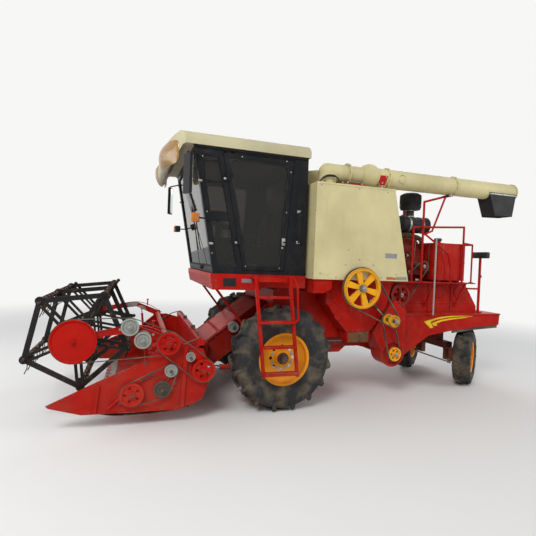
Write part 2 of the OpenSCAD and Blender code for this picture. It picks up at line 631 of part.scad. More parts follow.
// The door turns about a line along its front edge, outside its face
hinge_y = cab_y + 20;
hinge_lean = atan(0.216);
module on_hinge(z) {
    translate([post_x(z), hinge_y, z]) rotate([0, hinge_lean, 0]) children();
}
hinge_at = [floor_z + 330, cab_top - 380];
module cab_frame() { color("#1d1e20") on_frame() {
    w = cab_wall;
    difference() {
        slab(-cab_y, cab_y, [[front_x(floor_z - floor_t), floor_z - floor_t],
            [front_x(cab_top), cab_top], [cab_rear, cab_top], [cab_rear, floor_z - floor_t]]);
        slab(-cab_y + w, cab_y - w, [[front_x(floor_z) - w, floor_z],
            [front_x(cab_top + 1) - w, cab_top + 1], [cab_rear + w, cab_top + 1],
            [cab_rear + w, floor_z]]);
        // Doorway on the left, and the panes on both sides
        slab(cab_y - w - 1, cab_y + 1, door_line);
        // Room for the door's upper corner, which rises as the door opens
        box([post_x(door_z[1]) - 150, cab_y - w - 1, door_z[1] - 1],
            [post_x(door_z[1]), cab_y + 1, door_z[1] + 14]);
        slab(-cab_y - 1, -cab_y + w + 1, door_in(46));
        slab(-cab_y - 1, cab_y + 1, side_pane(0));
        screen(30, -w - 30, 0);
        box([cab_rear - 1, -rear_y, rear_z[0]], [cab_rear + w + 1, rear_y, rear_z[1]]);
    }
    // Rain gutter over the doors
    for (side = [0, 1]) mirror([0, side, 0])
        slab(cab_y - 1, cab_y + 16, [[-240, cab_top - 26], [1150, cab_top - 26],
            [1150, cab_top - 14], [-240, cab_top - 14]]);
    // Hinge sleeves, each held to the post by a plate
    for (z = hinge_at) difference() {
        union() {
            on_hinge(z) cylinder(r = 16, h = 44);
            on_hinge(z) translate([0, -20, 2]) cube([48, 10, 40]);
        }
        on_hinge(z) translate([0, 0, -10]) cylinder(r = 9 + run, h = 120);
    }
    // Grab bar behind the door
    bent([[-140, cab_y - 2, 1640], [-140, cab_y + 52, 1620], [-152, cab_y + 52, 1280],
        [-152, cab_y - 2, 1260]], 11);
} }
module cab_glass() { color("#2a3136") on_frame() {
    g = seat;
    mid = cab_wall / 2;
    screen(-mid, -mid - glass_t, g);
    for (side = [0, 1]) mirror([0, side, 0])
        slab(cab_y - mid - glass_t, cab_y - mid, side_pane(g));
    slab(-cab_y + mid, -cab_y + mid + glass_t, door_in(46 + g));
    box([cab_rear + mid, -rear_y + g, rear_z[0] + g],
        [cab_rear + mid + glass_t, rear_y - g, rear_z[1] - g]);
} }
door_rim = 58;
module door_frame() { color("#202224") on_frame() {
    difference() {
        slab(cab_y - cab_wall, cab_y, door_in(door_gap));
        slab(cab_y - cab_wall - 1, cab_y + 1, door_in(door_rim));
    }
    for (z = hinge_at) {
        on_hinge(z) translate([0, 0, 4]) cylinder(r = 9, h = 90);
        on_hinge(z) translate([0, 0, 46]) cylinder(r = 16, h = 44);
        on_hinge(z) translate([-70, -21, 46]) cube([70, 8, 44]);
    }
    // Latch handle
    bent([[40, cab_y - 4, 1250], [40, cab_y + 40, 1250], [-2, cab_y + 40, 1250]], 9);
} }
module door_glass() { color("#2a3136") on_frame()
    slab(cab_y - cab_wall / 2 - glass_t, cab_y - cab_wall / 2, door_in(door_rim + seat));
}
// Roof: side profile, cross section and bowed front, with a recess for each visor lamp
roof_z = cab_top + seat;
roof_y = cab_y + roof_over;
visor_lamp = [1415, 640, cab_top - 68];
module cab_roof() { color("#e8deb0") on_frame() {
    difference() {
        intersection() {
            slab(-roof_y, roof_y, concat([[-272, roof_z], [-272, roof_z + 70]],
                arc([-212, roof_z + 110], 52, 160, 100, 4),
                [[400, roof_z + 190], [1100, roof_z + 172]],
                arc([1245, roof_z - 95], 262, 78, -8, 9),
                arc([1448, roof_z - 178], 52, -30, -160, 4), [[1300, roof_z - 10], [1260, roof_z]]));
            translate([-400, 0, 0]) rotate([90, 0, 90]) linear_extrude(2100) polygon(concat(
                [[-roof_y + 30, roof_z - 300], [roof_y - 30, roof_z - 300], [roof_y, roof_z - 200]],
                arc([roof_y - 90, roof_z + 62], 90, 0, 80, 5), [[0, roof_z + 192]],
                arc([-roof_y + 90, roof_z + 62], 90, 100, 180, 5), [[-roof_y, roof_z - 200]]));
            linear_extrude(4000) polygon(concat([[-300, -roof_y], [-300, roof_y]],
                [for (i = [0:16]) let (y = roof_y * (1 - i / 8))
                    [1512 - 235 * pow(abs(y) / roof_y, 3), y]]));
        }
        for (s = [-1, 1]) translate([visor_lamp[0], s * visor_lamp[1], visor_lamp[2]])
            rotate([0, 90, 0]) cylinder(r = 82, h = 200);
    }
} }
module cab_interior() { color("#303236") on_frame() {
    f = floor_z + seat;
    // Plinth of the operator's chair, with its armrests
    box([60, -200, f], [440, 200, f + 240]);
    box([20, -285, f + 239], [460, 285, f + 260]);
    boxes([20, 245, f + 470], [360, 290, f + 520]);
    boxes([40, 249, f + 259], [90, 285, f + 480]);
    // Steering column with its wheel
    box([690, -70, f], [830, 70, f + 20]);
    bar([760, 0, f + 10], [640, 0, f + 640], 42);
    translate([640, 0, f + 640]) rotate([0, -18, 0]) {
        rotate_extrude() translate([185, 0]) circle(15);
        for (a = [90, 210, 330]) rotate([0, 0, a]) translate([0, -14, -8]) cube([180, 28, 14]);
        translate([0, 0, -20]) cylinder(r = 50, h = 36);
    }
    // Side console with the levers
    box([120, -620, f], [700, -400, f + 480]);
    for (x = [300, 400, 500, 600]) {
        translate([x, -510, f + 470]) cylinder(r = 8, h = 150);
        translate([x, -510, f + 608]) cylinder(r = 17, h = 44);
    }
} }
// Cushion and back of the operator's chair
module operator_seat() { color("#26272a") on_frame() {
    f = floor_z + 260 + 2 * seat;
    slab(-236, 236, [[30, f], [500, f], [520, f + 70], [480, f + 120], [60, f + 110],
        [-60, f + 600], [-130, f + 610], [-90, f + 340], [0, f + 40]]);
} }
// Mirrors on bent arms, turn lamps on the posts, and the lamps in the visor
module mirrors() { color("#18191b") on_frame() {
    for (side = [0, 1]) mirror([0, side, 0]) {
        x = front_x(cab_top - 120) - 30;
        box([x - 30, cab_y + seat, cab_top - 150], [x + 30, cab_y + 12, cab_top - 90]);
        bent([[x, cab_y + 10, cab_top - 120], [1262, 1212, cab_top - 140],
            [1262, 1212, cab_top - 575]], 10);
        translate([1262, 1218, cab_top - 590]) rotate([0, 0, 20]) linear_extrude(430)
            polygon(concat(arc([-8, 62], 22, 0, 180, 6), arc([-8, -62], 22, 180, 360, 6)));
        // Turn lamp on a short arm
        z = 1478;
        px = front_x(z) - 26;
        box([px - 18, cab_y + seat, z - 18], [px + 18, cab_y + 20, z + 18]);
        bar([px, cab_y + 14, z], [px + 110, cab_y + 46, z], 9);
        translate([px + 110, cab_y + 46, z]) rotate([0, 90, 0])
            cylinder(r1 = 30, r2 = 44, h = 66);
        translate([visor_lamp[0] + seat, visor_lamp[1], visor_lamp[2]])
            rotate([0, 90, 0]) cylinder(r = 80, h = 40);
    }
} }

// Drives on the left side, as [centre, radius]

main_p = [[-970, 715], 258];
small_p = [[-1480, 290], 78];
tail_p = [tail_drum, 92];
engine_p = [[-2280, 1025], 72];
idle_p = [[-1900, 600], 150];
module side_pulleys() { color("orange") on_frame() {
    // Large six-spoke flywheel pulley
    y = tank_y + 14;
    r = main_p[1];
    turned_across(main_p[0], y, [[r - 34, 0], [r, 0], [r, 62], [r - 34, 62]]);
    turned_across(main_p[0], y, [[0, 0], [46, 0], [46, 74], [0, 74]]);
    for (i = [0:5]) rotate_at(main_p[0], 15 + i * 60)
        slab(y + 12, y + 44, [[30, -26], [r - 20, -44], [r - 20, 44], [30, 26]]);
    across(main_p[0], wide_y + seat, y + 86, 26);
    pulley(small_p[0], small_p[1], wide_y + 50, wide_y + 110);
    pulley(small_p[0], small_p[1], y, y + 60);
    across(small_p[0], wide_y + 20 + seat, y + 72, 22);
    pulley(tail_p[0], tail_p[1], wide_y + 50, wide_y + 106, 5, 17, 20 + run);
    pulley(idle_p[0], idle_p[1], core_y + 14, core_y + 60, 6, 24);
    across(idle_p[0], core_y + seat, core_y + 70, 22);
} }
module side_belts() { color("#151515") on_frame() {
    y = tank_y + 18;
    belt([main_p, small_p], y, y + 30, 12);
    belt([small_p, tail_p], wide_y + 54, wide_y + 78, 10);
    belt([engine_p, idle_p], core_y + 18, core_y + 44, 11);
} }

// Engine deck

deck_top = deck_h + deck_t;
module engine_block() { color("#a3211f") on_frame() {
    d = deck_top + seat;
    box([-2420, -330, d + 90], [-1820, 560, d + 400]);
    slab(-260, 500, [[-1860, d + 92], [-2380, d + 92], [-2330, d], [-1910, d]]);
    box([-2380, -300, d + 399], [-1960, 540, d + 540]);
    box([-2340, -280, d + 539], [-2040, 520, d + 600]);
    // Injection pump, starter, exhaust manifold and flywheel housing
    across([-1860, d + 430], -120, 340, 52);
    for (y = [-200, -20, 160]) bar([-2370, y, d + 470], [-2520, y, d + 500], 30);
    across([-2530, d + 505], -260, 240, 44);
    across([-2120, d + 250], -420, -329, 230);
    // Water pump pulley, crank pulley and the belt's front plate
    across(engine_p[0], 559, core_y + 18, 34);
    pulley(engine_p[0], engine_p[1], core_y + 12, core_y + 58);
    pulley([-2070, d + 380], 66, 590, 640);
    across([-2070, d + 380], 559, 592, 26);
    pulley([-2120, d + 130], 84, 590, 640);
    across([-2120, d + 130], 559, 592, 30);
    // Exhaust pipe with its bend
    bent([[-2530, -200, d + 505], [-2620, -200, d + 540], [-2620, -200, d + 1180],
        [-2700, -200, d + 1260]], 42);
} }
module air_cleaner() { color("#1c1c1c") on_frame() {
    c = [-2150, 545];
    z = 1645;
    translate([c[0], c[1], 1868]) cylinder(r1 = 140, r2 = 152, h = 30);
    translate([c[0], c[1], 1897]) cylinder(r = 152, h = 190);
    translate([c[0], c[1], 2086]) cylinder(r1 = 152, r2 = 110, h = 26);
    translate([c[0], c[1], z + 60]) cylinder(r = 58, h = 1870 - z - 60);
    translate([-2430, c[1], z]) rotate([0, 90, 0]) cylinder(r = 118, h = 440);
    translate([-2440, c[1], z]) rotate([0, 90, 0]) cylinder(r = 124, h = 30);
    translate([-2010, c[1], z]) rotate([0, 90, 0]) cylinder(r = 124, h = 30);
    // Straps on two legs that stand on the engine's head
    for (x = [-2320, -2100]) {
        box([x - 22, 380, deck_top + 600 + 2 * seat], [x + 22, 430, z + 20]);
        box([x - 22, 380, z - 20], [x + 22, 500, z + 20]);
    }
    bent([[-1990, c[1], z], [-1900, c[1], z], [-1880, 420, z - 140],
        [-1880, 420, deck_top + 400 + 3 * seat]], 50);
} }
module fuel_tank() { color("#d02320") on_frame() {
    d = deck_top + seat;
    size = [580, 520];
    c = [-2760, 510];
    translate([c[0], c[1], d + 24]) linear_extrude(560) polygon(concat(
        arc([size[0] / 2 - 70, size[1] / 2 - 70], 70, 0, 90, 5),
        arc([-size[0] / 2 + 70, size[1] / 2 - 70], 70, 90, 180, 5),
        arc([-size[0] / 2 + 70, -size[1] / 2 + 70], 70, 180, 270, 5),
        arc([size[0] / 2 - 70, -size[1] / 2 + 70], 70, 270, 360, 5)));
    boxes_at = [-2960, -2620];
    for (x = boxes_at) box([x, 300, d], [x + 60, 730, d + 25]);
    translate([-2640, 600, d + 580]) cylinder(r = 44, h = 44);
} }
// Radiator with its round dust screen on the right
module radiator() { color("#5a1414") on_frame() {
    d = deck_top + seat;
    difference() {
        box([-2520, -820, d], [-1760, -560, d + 760]);
        across([-2140, d + 400], -830, -760, 320);
    }
    across([-2140, d + 400], -770, -740, 90);
    for (a = [0, 45, 90, 135]) rotate_at([-2140, d + 400], a)
        box([-322, -790, -8], [322, -776, 8]);
    for (r = [130, 210, 290]) turned_across([-2140, d + 400], -792,
        [[r - 8, 0], [r + 8, 0], [r + 8, 18], [r - 8, 18]]);
    across([-2120, d + 250], -561, -420 - seat, 60);
} }
// Railings, the rest under the unloading tube, and the tail lamps on their posts
rest_x = -2550;
pole = [-2390, 863];
module deck_rails() { color("#c8201c") on_frame() {
    d = deck_top + seat;
    y = 796;
    bent([[-2035, y, d], [-2035, y, 1585], [-2945, y, 1640], [-2945, y, d]], 15);
    bent([[-2945, y, 1400], [-3120, y, 1380], [-3120, 100, 1380], [-3120, -600, 1380],
        [-3120, -600, d]], 13);
    bar([-3120, y, 1380], [-3120, y, d], 12);
    // Rest: a post, a strut and a bearer
    rest_y = tube_y;
    low = tube_z - tube_r - 17 - seat;
    bent([[-2172, rest_y - 18, d], [-2172, rest_y - 18, low - 110], [rest_x, rest_y - 18, low]], 16);
    bent([[rest_x + 8, rest_y - 18, low - 4], [-2330, rest_y - 18, 1545],
        [-2176, rest_y - 18, 1480]], 14);
    translate([rest_x, rest_y - 90, low]) rotate([-90, 0, 0]) cylinder(r = 17, h = 180);
    bent([[-2200, rest_y - 18, 1500], [-2640, rest_y - 18, 1230],
        [-2700, rest_y - 18, 1000], [-2700, rest_y - 18, d]], 14);
    // Pole outside the deck, down to the tail hood
    bar([pole[0], pole[1], 318 + seat], [pole[0], pole[1], 1440], 12);
    bar([pole[0], rest_y - 18, 1383], [pole[0], pole[1], 1383], 10);
    // Tail lamps
    for (side = [-1, 1]) {
        bar([-3485, side * 600, 320 + seat], [-3485, side * 600, 1200], 20);
        box([-3520, side * 600 - 45, 320 + seat], [-3450, side * 600 + 45, 336]);
        bar([-3485, side * 600, 700], [-3258.4, side * 590, 700], 14);
        box([-3510, side * 600 - 150, 1195], [-3450, side * 600 + 150, 1285]);
    }
} }

// Unloading tube on its swivel, with gusset, clamp ring and the rubber spout

module unload_tube() { color("#e6dcae") on_frame() translate([swivel_x, tube_y, tube_z]) {
    spout = [2040, tube_len - 50];
    difference() {
        union() {
            difference() {
                sphere(ball_r);
                translate([-200, -200, -ball_flat - 100]) cube([400, 400, 100]);
            }
            rotate([0, -90, 0]) cylinder(r = tube_r, h = tube_len);
        }
        // Open underside over the spout
        translate([-spout[1], -tube_r + 34, -tube_r - 50])
            cube([spout[1] - spout[0], 2 * tube_r - 68, tube_r + 20]);
    }
    translate([0, 0, -ball_r - 14]) cylinder(r = 30, h = 60);
    for (x = [-262, -1400]) translate([x, 0, 0]) rotate([0, -90, 0])
        cylinder(r = tube_r + 18, h = 22);
    translate([-2 - tube_len, 0, 0]) rotate([0, 90, 0]) cylinder(r = tube_r + 8, h = 20);
    // Gusset over the rod's bolt
    gy = swing_eye[1] - tube_y;
    gx = swing_eye[0] - swivel_x;
    slab(gy - 10, gy + 10, [[gx - 90, 10], [gx + 80, 10], [gx + 30, -137], [gx - 30, -137]]);
    translate([gx - 30, gy - 28, -137]) cube([60, 56, 9]);
} }
module unload_spout() { color("#1a1a1a") on_frame() translate([swivel_x, tube_y, tube_z]) {
    x0 = -2000;
    x1 = -tube_len + 20;
    outer = [[x0, -40], [x0 - 130, -390], [x1 + 60, -380], [x1, -40]];
    y = tube_r - 6;
    difference() {
        slab(-y, y, outer);
        slab(-y + 12, y - 12, [[x0 - 14, -40 + 1], [x0 - 140, -391], [x1 + 70, -391],
            [x1 + 14, -40 + 1]]);
        rotate([0, -90, 0]) cylinder(r = tube_r + seat, h = 4000);
    }
} }
// Swing cylinder: barrel on the tank's pin, rod with a bolt under the tube's gusset
swing_dir = atan2(swing_eye[1] - swing_base[1], swing_eye[0] - swing_base[0]);
swing_len = norm(swing_eye - swing_base);
module on_swing() {
    on_frame() translate([swing_base[0], swing_base[1], swing_z]) rotate([0, 0, swing_dir])
        children();
}
module barrel(len, r, rod, eye, bore, half) {
    difference() {
        union() {
            translate([eye * 0.8, 0, 0]) rotate([0, 90, 0]) cylinder(r = r, h = len - eye * 0.8);
            translate([0, 0, -half]) cylinder(r = eye, h = 2 * half);
            translate([len - 16, 0, 0]) rotate([0, 90, 0]) cylinder(r = r + 3, h = 16);
        }
        translate([eye + 14, 0, 0]) rotate([0, 90, 0]) cylinder(r = rod + run, h = len);
        translate([0, 0, -half - 5]) cylinder(r = bore, h = 2 * half + 10);
    }
}
module swing_barrel() { color("#c8201c") on_swing() barrel(320, 20, 11, 22, swing_pin_r + run, 16); }
module swing_rod() { color("silver") on_swing() {
    translate([296, 0, 0]) rotate([0, 90, 0]) cylinder(r = 11, h = swing_len - 296);
    translate([swing_len, 0, -12]) cylinder(r = 22, h = 24);
    translate([swing_len, 0, -14]) cylinder(r = 10, h = tube_z - 137 - swing_z + 13);
} }

// Feeder house and header, drawn as they stand, turning as one about the lift pivot

feeder_d = [cos(feeder_drop), -sin(feeder_drop)];
feeder_n = [sin(feeder_drop), cos(feeder_drop)];
feeder_half = feeder_h / 2;
// Height of the feeder's middle line at a distance forward, and half its upright height
function feeder_z(x) = lift[1] - (x - lift[0]) * tan(feeder_drop);
feeder_rise = feeder_half / cos(feeder_drop);
// Side and eye half widths of a lift cylinder, and the play of the rod's eye
lift_eye_half = 22;
lift_play = 10;
module feeder_house() { color("#c8201c") on_frame() {
    y = feeder_w / 2;
    h = feeder_half;
    t = 16;
    difference() {
        union() {
            slab(-y, y, [lift + feeder_n * h, lift - feeder_n * h,
                [mouth_x, feeder_z(mouth_x) - feeder_rise],
                [mouth_x, feeder_z(mouth_x) + feeder_rise]]);
            across(lift, -y, y, h + 4);
        }
        slab(-y + t, y - t, [lift + feeder_d * 220 + feeder_n * (h - t),
            lift + feeder_d * 220 - feeder_n * (h - t),
            [mouth_x + 1, feeder_z(mouth_x + 1) - feeder_rise + t * 1.25],
            [mouth_x + 1, feeder_z(mouth_x + 1) + feeder_rise - t * 1.25]]);
    }
    // Pivot stubs, flat ribs and edge angles
    across(lift, -y - 66, y + 66, feeder_pin_r);
    for (f = [260, 560, 860]) let (p = lift + feeder_d * f) slabs(y - 1, y + 14,
        [p + feeder_n * (h - 8), p + feeder_n * (h - 8) + feeder_d * 26,
        p - feeder_n * (h - 8) + feeder_d * 26, p - feeder_n * (h - 8)]);
    for (s = [-1, 1]) let (end = (mouth_x - 10 - lift[0] - s * h * feeder_n[0]) / feeder_d[0],
        from = lift + feeder_d * 60, to = lift + feeder_d * end)
        slabs(y - 1, y + 20, [from + feeder_n * s * (h + 2), from + feeder_n * s * (h - 9),
            to + feeder_n * s * (h - 9), to + feeder_n * s * (h + 2)]);
    // Clevis plates and pins for the lift cylinders
    for (side = [0, 1]) mirror([0, side, 0]) {
        for (s = [-1, 1]) slab(cyl_y + s * 34 - 7, cyl_y + s * 34 + 7, concat(
            arc(lift_eye, 38, 180, 360, 8), [[mouth_x - 10, -200], [mouth_x - 150, -70]]));
        slab(y - 1, cyl_y + 41, [[mouth_x - 150, -70], [mouth_x - 10, -200],
            [mouth_x - 26, -215], [mouth_x - 166, -85]]);
        across(lift_eye, cyl_y - 40, cyl_y + 40, pin_r - 4);
    }
    // Chain wheel on its shaft on the left
    across([500, 118], y - 1, y + 70, 20);
    pulley([500, 118], 70, y + 24, y + 62);
} }
lift_dir = atan2(lift_eye[1] - lift_base[1], lift_eye[0] - lift_base[0]);
lift_len = norm(lift_eye - lift_base);
// A pair of cylinders, one on each side, drawn forward from the foot's pin
module on_cylinder(base, dir, y) {
    on_frame() for (s = [-1, 1]) translate([base[0], s * y, base[1]])
        rotate([0, -dir, 0]) rotate([90, 0, 0]) children();
}
module cylinder_rod(from, len, r, ring, hole, half) {
    translate([from, 0, 0]) rotate([0, 90, 0]) cylinder(r = r, h = len - from - (ring + hole) / 2);
    difference() {
        translate([len, 0, -half]) cylinder(r = ring, h = 2 * half);
        translate([len, 0, -half - 5]) cylinder(r = hole, h = 2 * half + 10);
    }
}
module lift_barrels() { color("#c8201c") on_cylinder(lift_base, lift_dir, cyl_y)
    barrel(560, 34, 22, 34, pin_r + run, 37); }
module lift_rods() { color("silver") on_cylinder(lift_base, lift_dir, cyl_y)
    cylinder_rod(90, lift_len, 22, 38, pin_r - 4 + lift_play, lift_eye_half); }

// Header: end sheets drawn out to dividers, a trough with its floor, beams and knife guards
end_sheet = [[2585, -535], [2560, -560], [2250, -650], [1240, -665], [1010, -560], [932, -352],
    [978, -85], [1012, 0], [1255, 70], [1440, 60], [1560, -38], [1640, -122], [2120, -325]];
auger_shaft_r = 26;
trough_r = auger_r + 15;
guard_x = 2020;      // root of the knife guards
guard_top = -621;
guard_len = 92;
arm_pin_r = 24;
reel_foot_r = 11;    // pins of the reel cylinders
reel_eye_r = 9;
module header_frame() { color("#c4201c") on_frame() {
    y = header_y;
    difference() {
        union() {
            slabs(y, y + sheet_t, end_sheet);
            slabs(y - 30, y + sheet_t + 14, arc(auger_c, 62, 0, 360, 32));
            // Back sheet, trough and floor in one bent sheet
            slab(-y - 1, y + 1, concat([[1075 - sheet_t, 45]],
                arc(auger_c, trough_r + sheet_t, 180, 270, 12), [[guard_x - 50, -628]],
                [[guard_x - 50, -628 + sheet_t]], arc(auger_c, trough_r, 270, 180, 12),
                [[1075, 45]]));
            // Collar of the feeder's mouth, and the beams above and below
            box([mouth_x + seat, -feeder_w / 2, feeder_z(mouth_x) - feeder_rise],
                [1215, feeder_w / 2, feeder_z(mouth_x) + feeder_rise]);
            box([1000, -y - 1, 38], [1080, y + 1, 110]);
            box([1076, -y - 1, -580], [1146, y + 1, -510]);
            for (p = [-900, -640, 600, 860]) slab(p, p + 40, [[1002, 60], [1066, 60],
                [1075, -335], [1100, -540], [1080, -560], [1010, -330]]);
        }
        // Mouth, the trough's hollow and the bores of the auger's shaft
        box([900, -feeder_w / 2 + 16, feeder_z(mouth_x) - feeder_rise + 20],
            [1220, feeder_w / 2 - 16, feeder_z(mouth_x) + feeder_rise - 20]);
        across(auger_c, -feeder_w / 2 - 50, feeder_w / 2 + 50, trough_r);
        across(auger_c, -2 * y, 2 * y, auger_shaft_r + run);
    }
    // Folded edge along the top of each end sheet, and ribs on the left one
    slabs(y - 24, y + 1, [[2575, -536], [2120, -325], [1640, -122], [1560, -38], [1440, 60],
        [1440, 48], [1556, -52], [1634, -138], [2118, -340], [2560, -548]]);
    for (r = [[2080, -350, -640, 24], [1180, 40, -630, 44]])
        slab(y + sheet_t - 1, y + sheet_t + 26, [[r[0], r[1]], [r[0] + r[3], r[1]],
            [r[0] + r[3] + 30, r[2]], [r[0] + 30, r[2]]]);
    // Knife guards: a comb of pointed fingers
    n = floor((header_w - 80) / guard_pitch / 2);
    translate([0, 0, guard_top - 13]) linear_extrude(13) polygon(concat([[guard_x - 60, -y - 1]],
        [for (i = [-n:n], p = [[0, -22], [30, -12], [guard_len, -3], [guard_len, 3], [30, 12],
            [0, 22]]) [guard_x + p[0], i * guard_pitch + p[1]]], [[guard_x - 60, y + 1]]));
    // Brackets and pins that carry the reel arms, and the foot pins of the reel cylinders
    for (side = [0, 1]) mirror([0, side, 0]) {
        slab(arm_y + 17, y + sheet_t, [[1330, 20], [1470, 20], [1440, 130], [1360, 130]]);
        across(arm_pivot, 1120, y, arm_pin_r);
        across(reel_base, reel_cyl_y - 22, y + 1, reel_foot_r);
        across(reel_base, reel_cyl_y + 21, y + 1, 24);
    }
} }
// Knife: a back bar with triangular sections that slides across on the guards
knife_throw = 38;
module knife() { color("silver") on_frame() translate([0, 0, guard_top + seat]) {
    n = floor((header_w - 240) / guard_pitch / 2);
    half = (n + 0.5) * guard_pitch;
    linear_extrude(6) polygon(concat([[guard_x - 46, -half]],
        [for (i = [-n:n], p = [[-6, -0.48], [48, -0.1], [48, 0.1], [-6, 0.48]])
            [guard_x + p[0], (i + p[1]) * guard_pitch]], [[guard_x - 46, half]]));
    box([guard_x - 44, -half, 5], [guard_x - 22, half, 14]);
} }
// Auger: a tube with two opposed flights that carry to the middle, and fingers between them
flight_steps = 20;
module flight(r0, r1, pitch, turns, t) {
    n = round(flight_steps * turns);
    points = [for (i = [0:n]) let (a = i * 360 / flight_steps, h = i * pitch / flight_steps)
        each [[r0 * cos(a), r0 * sin(a), h], [r1 * cos(a), r1 * sin(a), h],
            [r1 * cos(a), r1 * sin(a), h + t], [r0 * cos(a), r0 * sin(a), h + t]]];
    sides = [for (i = [0:n - 1], e = [0:3]) let (b = i * 4, f = (e + 1) % 4)
        [b + e, b + f, b + 4 + f, b + 4 + e]];
    polyhedron(points, concat(sides, [[3, 2, 1, 0]], [[for (k = [0:3]) n * 4 + k]]));
}
module header_auger() { color("#b02320") on_frame() {
    y = header_y - 36;
    across(auger_c, -y, y, auger_tube_r);
    across(auger_c, -y - 70, y + 70, auger_shaft_r);
    for (side = [0, 1]) mirror([0, side, 0]) translate([auger_c[0], -y + 14, auger_c[1]])
        rotate([-90, 0, 0]) flight(auger_tube_r - 3, auger_r, 420, 1.9, 8);
    for (i = [0:11]) rotate_at(auger_c, i * 67.5)
        translate([0, -330 + i * 60, 0]) cylinder(r = 7, h = auger_r - 5, $fn = 16);
} }
// Header drives on the left end, as [centre, radius]
jack_p = [[1012, -225], 126];
reel_p = [arm_pivot, 122];
knife_p = [[1760, -455], 122];
fork_p = [[1452, -412], 88];
idler_a = [[1364, -214], 68];
idler_b = [[1158, -72], 50];
arm_idlers = [[[1800, 265], 92], [[1668, 122], 88]];
drive_y = header_y + sheet_t + 40;
module header_pulleys() { color("#cf2a22") on_frame() {
    y = header_y + sheet_t;
    // Columns: pulley, width, holes, their radius
    for (p = [[jack_p, 56, 5, 16], [reel_p, 62, 6, 14], [knife_p, 42, 5, 15],
        [fork_p, 42, 0, 1], [idler_a, 42, 0, 1], [idler_b, 42, 0, 1]]) {
        pulley(p[0][0], p[0][1], drive_y, drive_y + p[1], p[2], p[3]);
        across(p[0][0], y + seat, drive_y + p[1] + 12, 17);
    }
    // Knife gear case with its rocker, and the guard behind the belts
    slab(y + seat, y + 30, [[1700, -380], [1850, -400], [1900, -560], [1660, -570]]);
    bar([1850, y + 16, -470], [1990, y + 16, -590], 15);
    slab(y + seat, y + 26, [[965, -130], [1172, -112], [1172, 10], [1010, -20]]);
} }
module header_belts() { color("#20201e") on_frame() {
    belt([knife_p, idler_a, fork_p], drive_y + 6, drive_y + 20, 8);
    belt([reel_p, jack_p], drive_y + 18, drive_y + 32, 8);
} }
// Arms that hold the reel's shaft, joined by a tube on their pivot
arm_y = 1158;
arm_t = 12;
reel_shaft_r = 25;
ring_r = 100;        // bearing of the ring that keeps the tines upright
ring_y = -1117;
module reel_arms() { color("#d0221d") on_frame() {
    outline = concat(arc(arm_pivot, 46, 100, 260, 8), [arm_pivot + [120, 10],
        arm_pivot + [330, 108], arm_pivot + [640, 70], reel_c + [-60, -44]],
        arc(reel_c, 48, -100, 100, 8), [reel_c + [-80, 52], arm_pivot + [620, 142],
        arm_pivot + [330, 184]]);
    difference() {
        union() {
            slabs(arm_y - arm_t, arm_y + arm_t, outline);
            across(reel_c, arm_y - 24, arm_y + 24, 48);
            across(arm_pivot, -arm_y, arm_y, arm_pin_r + 8);
            // Disc on an offset centre that guides the control ring, on the right
            across(reel_c + control_off, -arm_y, ring_y + 11, ring_r);
        }
        across(arm_pivot, -2000, 2000, arm_pin_r + run);
        across(reel_c, -2000, 2000, reel_shaft_r + run);
    }
    slabs(reel_cyl_y - 18, arm_y - arm_t + 1, arc(reel_eye, reel_eye_r, 0, 360, 24));
    // Idler pulleys of the reel's belt, on the left arm
    for (i = [0, 1]) let (p = arm_idlers[i]) {
        pulley(p[0], p[1], drive_y - 4, drive_y + 36);
        across(p[0], arm_y + arm_t - 1, drive_y + 44, 15);
        slab(arm_y + arm_t - 1, arm_y + arm_t + 14, concat(arc(p[0], 24, i * 180, i * 180 + 180, 8),
            i == 0 ? [[1700, 185], [1790, 190]] : [[1760, 205], [1690, 190]]));
    }
} }
module reel_belt() { color("#171717") on_frame() {
    belt([[reel_c, disc_r], arm_idlers[0], reel_p], drive_y, drive_y + 14, 8);
} }
reel_cyl_dir = atan2(reel_eye[1] - reel_base[1], reel_eye[0] - reel_base[0]);
reel_cyl_len = norm(reel_eye - reel_base);
module reel_barrels() { color("#c8201c") on_cylinder(reel_base, reel_cyl_dir, reel_cyl_y)
    barrel(220, 17, 9, 20, reel_foot_r + run, 18); }
module reel_rods() { color("silver") on_cylinder(reel_base, reel_cyl_dir, reel_cyl_y)
    cylinder_rod(80, reel_cyl_len, 9, 19, reel_eye_r + 3, 12); }
// Reel: three five-armed spiders on a shaft, with the dished pulley on its left end
bat_step = 360 / bats;
bat_y = bat_len / 2;
function bat_at(i) = reel_c + reel_r * unit2(reel_phase + i * bat_step);
spider_y = bat_y - 35;
module spider(y) {
    difference() {
        union() {
            across(reel_c, y - 14, y + 14, 80);
            for (i = [0:bats - 1]) rotate_at(reel_c, reel_phase + i * bat_step) {
                for (z = [-42, 12]) box([60, y - 8, z], [reel_r - 20, y + 8, z + 30]);
                across([reel_r, 0], y - 12, y + 12, bat_r + 22, 24);
                // Bar to the next bat
                translate([reel_r, 0, 0]) rotate([0, -90 - bat_step / 2, 0])
                    translate([24, y - 7, -27]) cube([2 * reel_r * sin(bat_step / 2) - 48, 14, 54]);
            }
        }
        for (i = [0:bats - 1]) rotate_at(reel_c, reel_phase + i * bat_step)
            across([reel_r, 0], y - 20, y + 20, bat_r + run);
    }
}
module reel_spider() { color("#2a211d") on_frame() {
    across(reel_c, -arm_y - 24, drive_y + 40, reel_shaft_r);
    for (y = [-spider_y, 0, spider_y]) spider(y);
    // Dished pulley: rim, web and hub
    turned_across(reel_c, drive_y - 6, [[0, 0], [disc_r, 0], [disc_r, 26], [disc_r - 12, 26],
        [disc_r - 26, 10], [110, 16], [60, 24], [0, 24]]);
} }
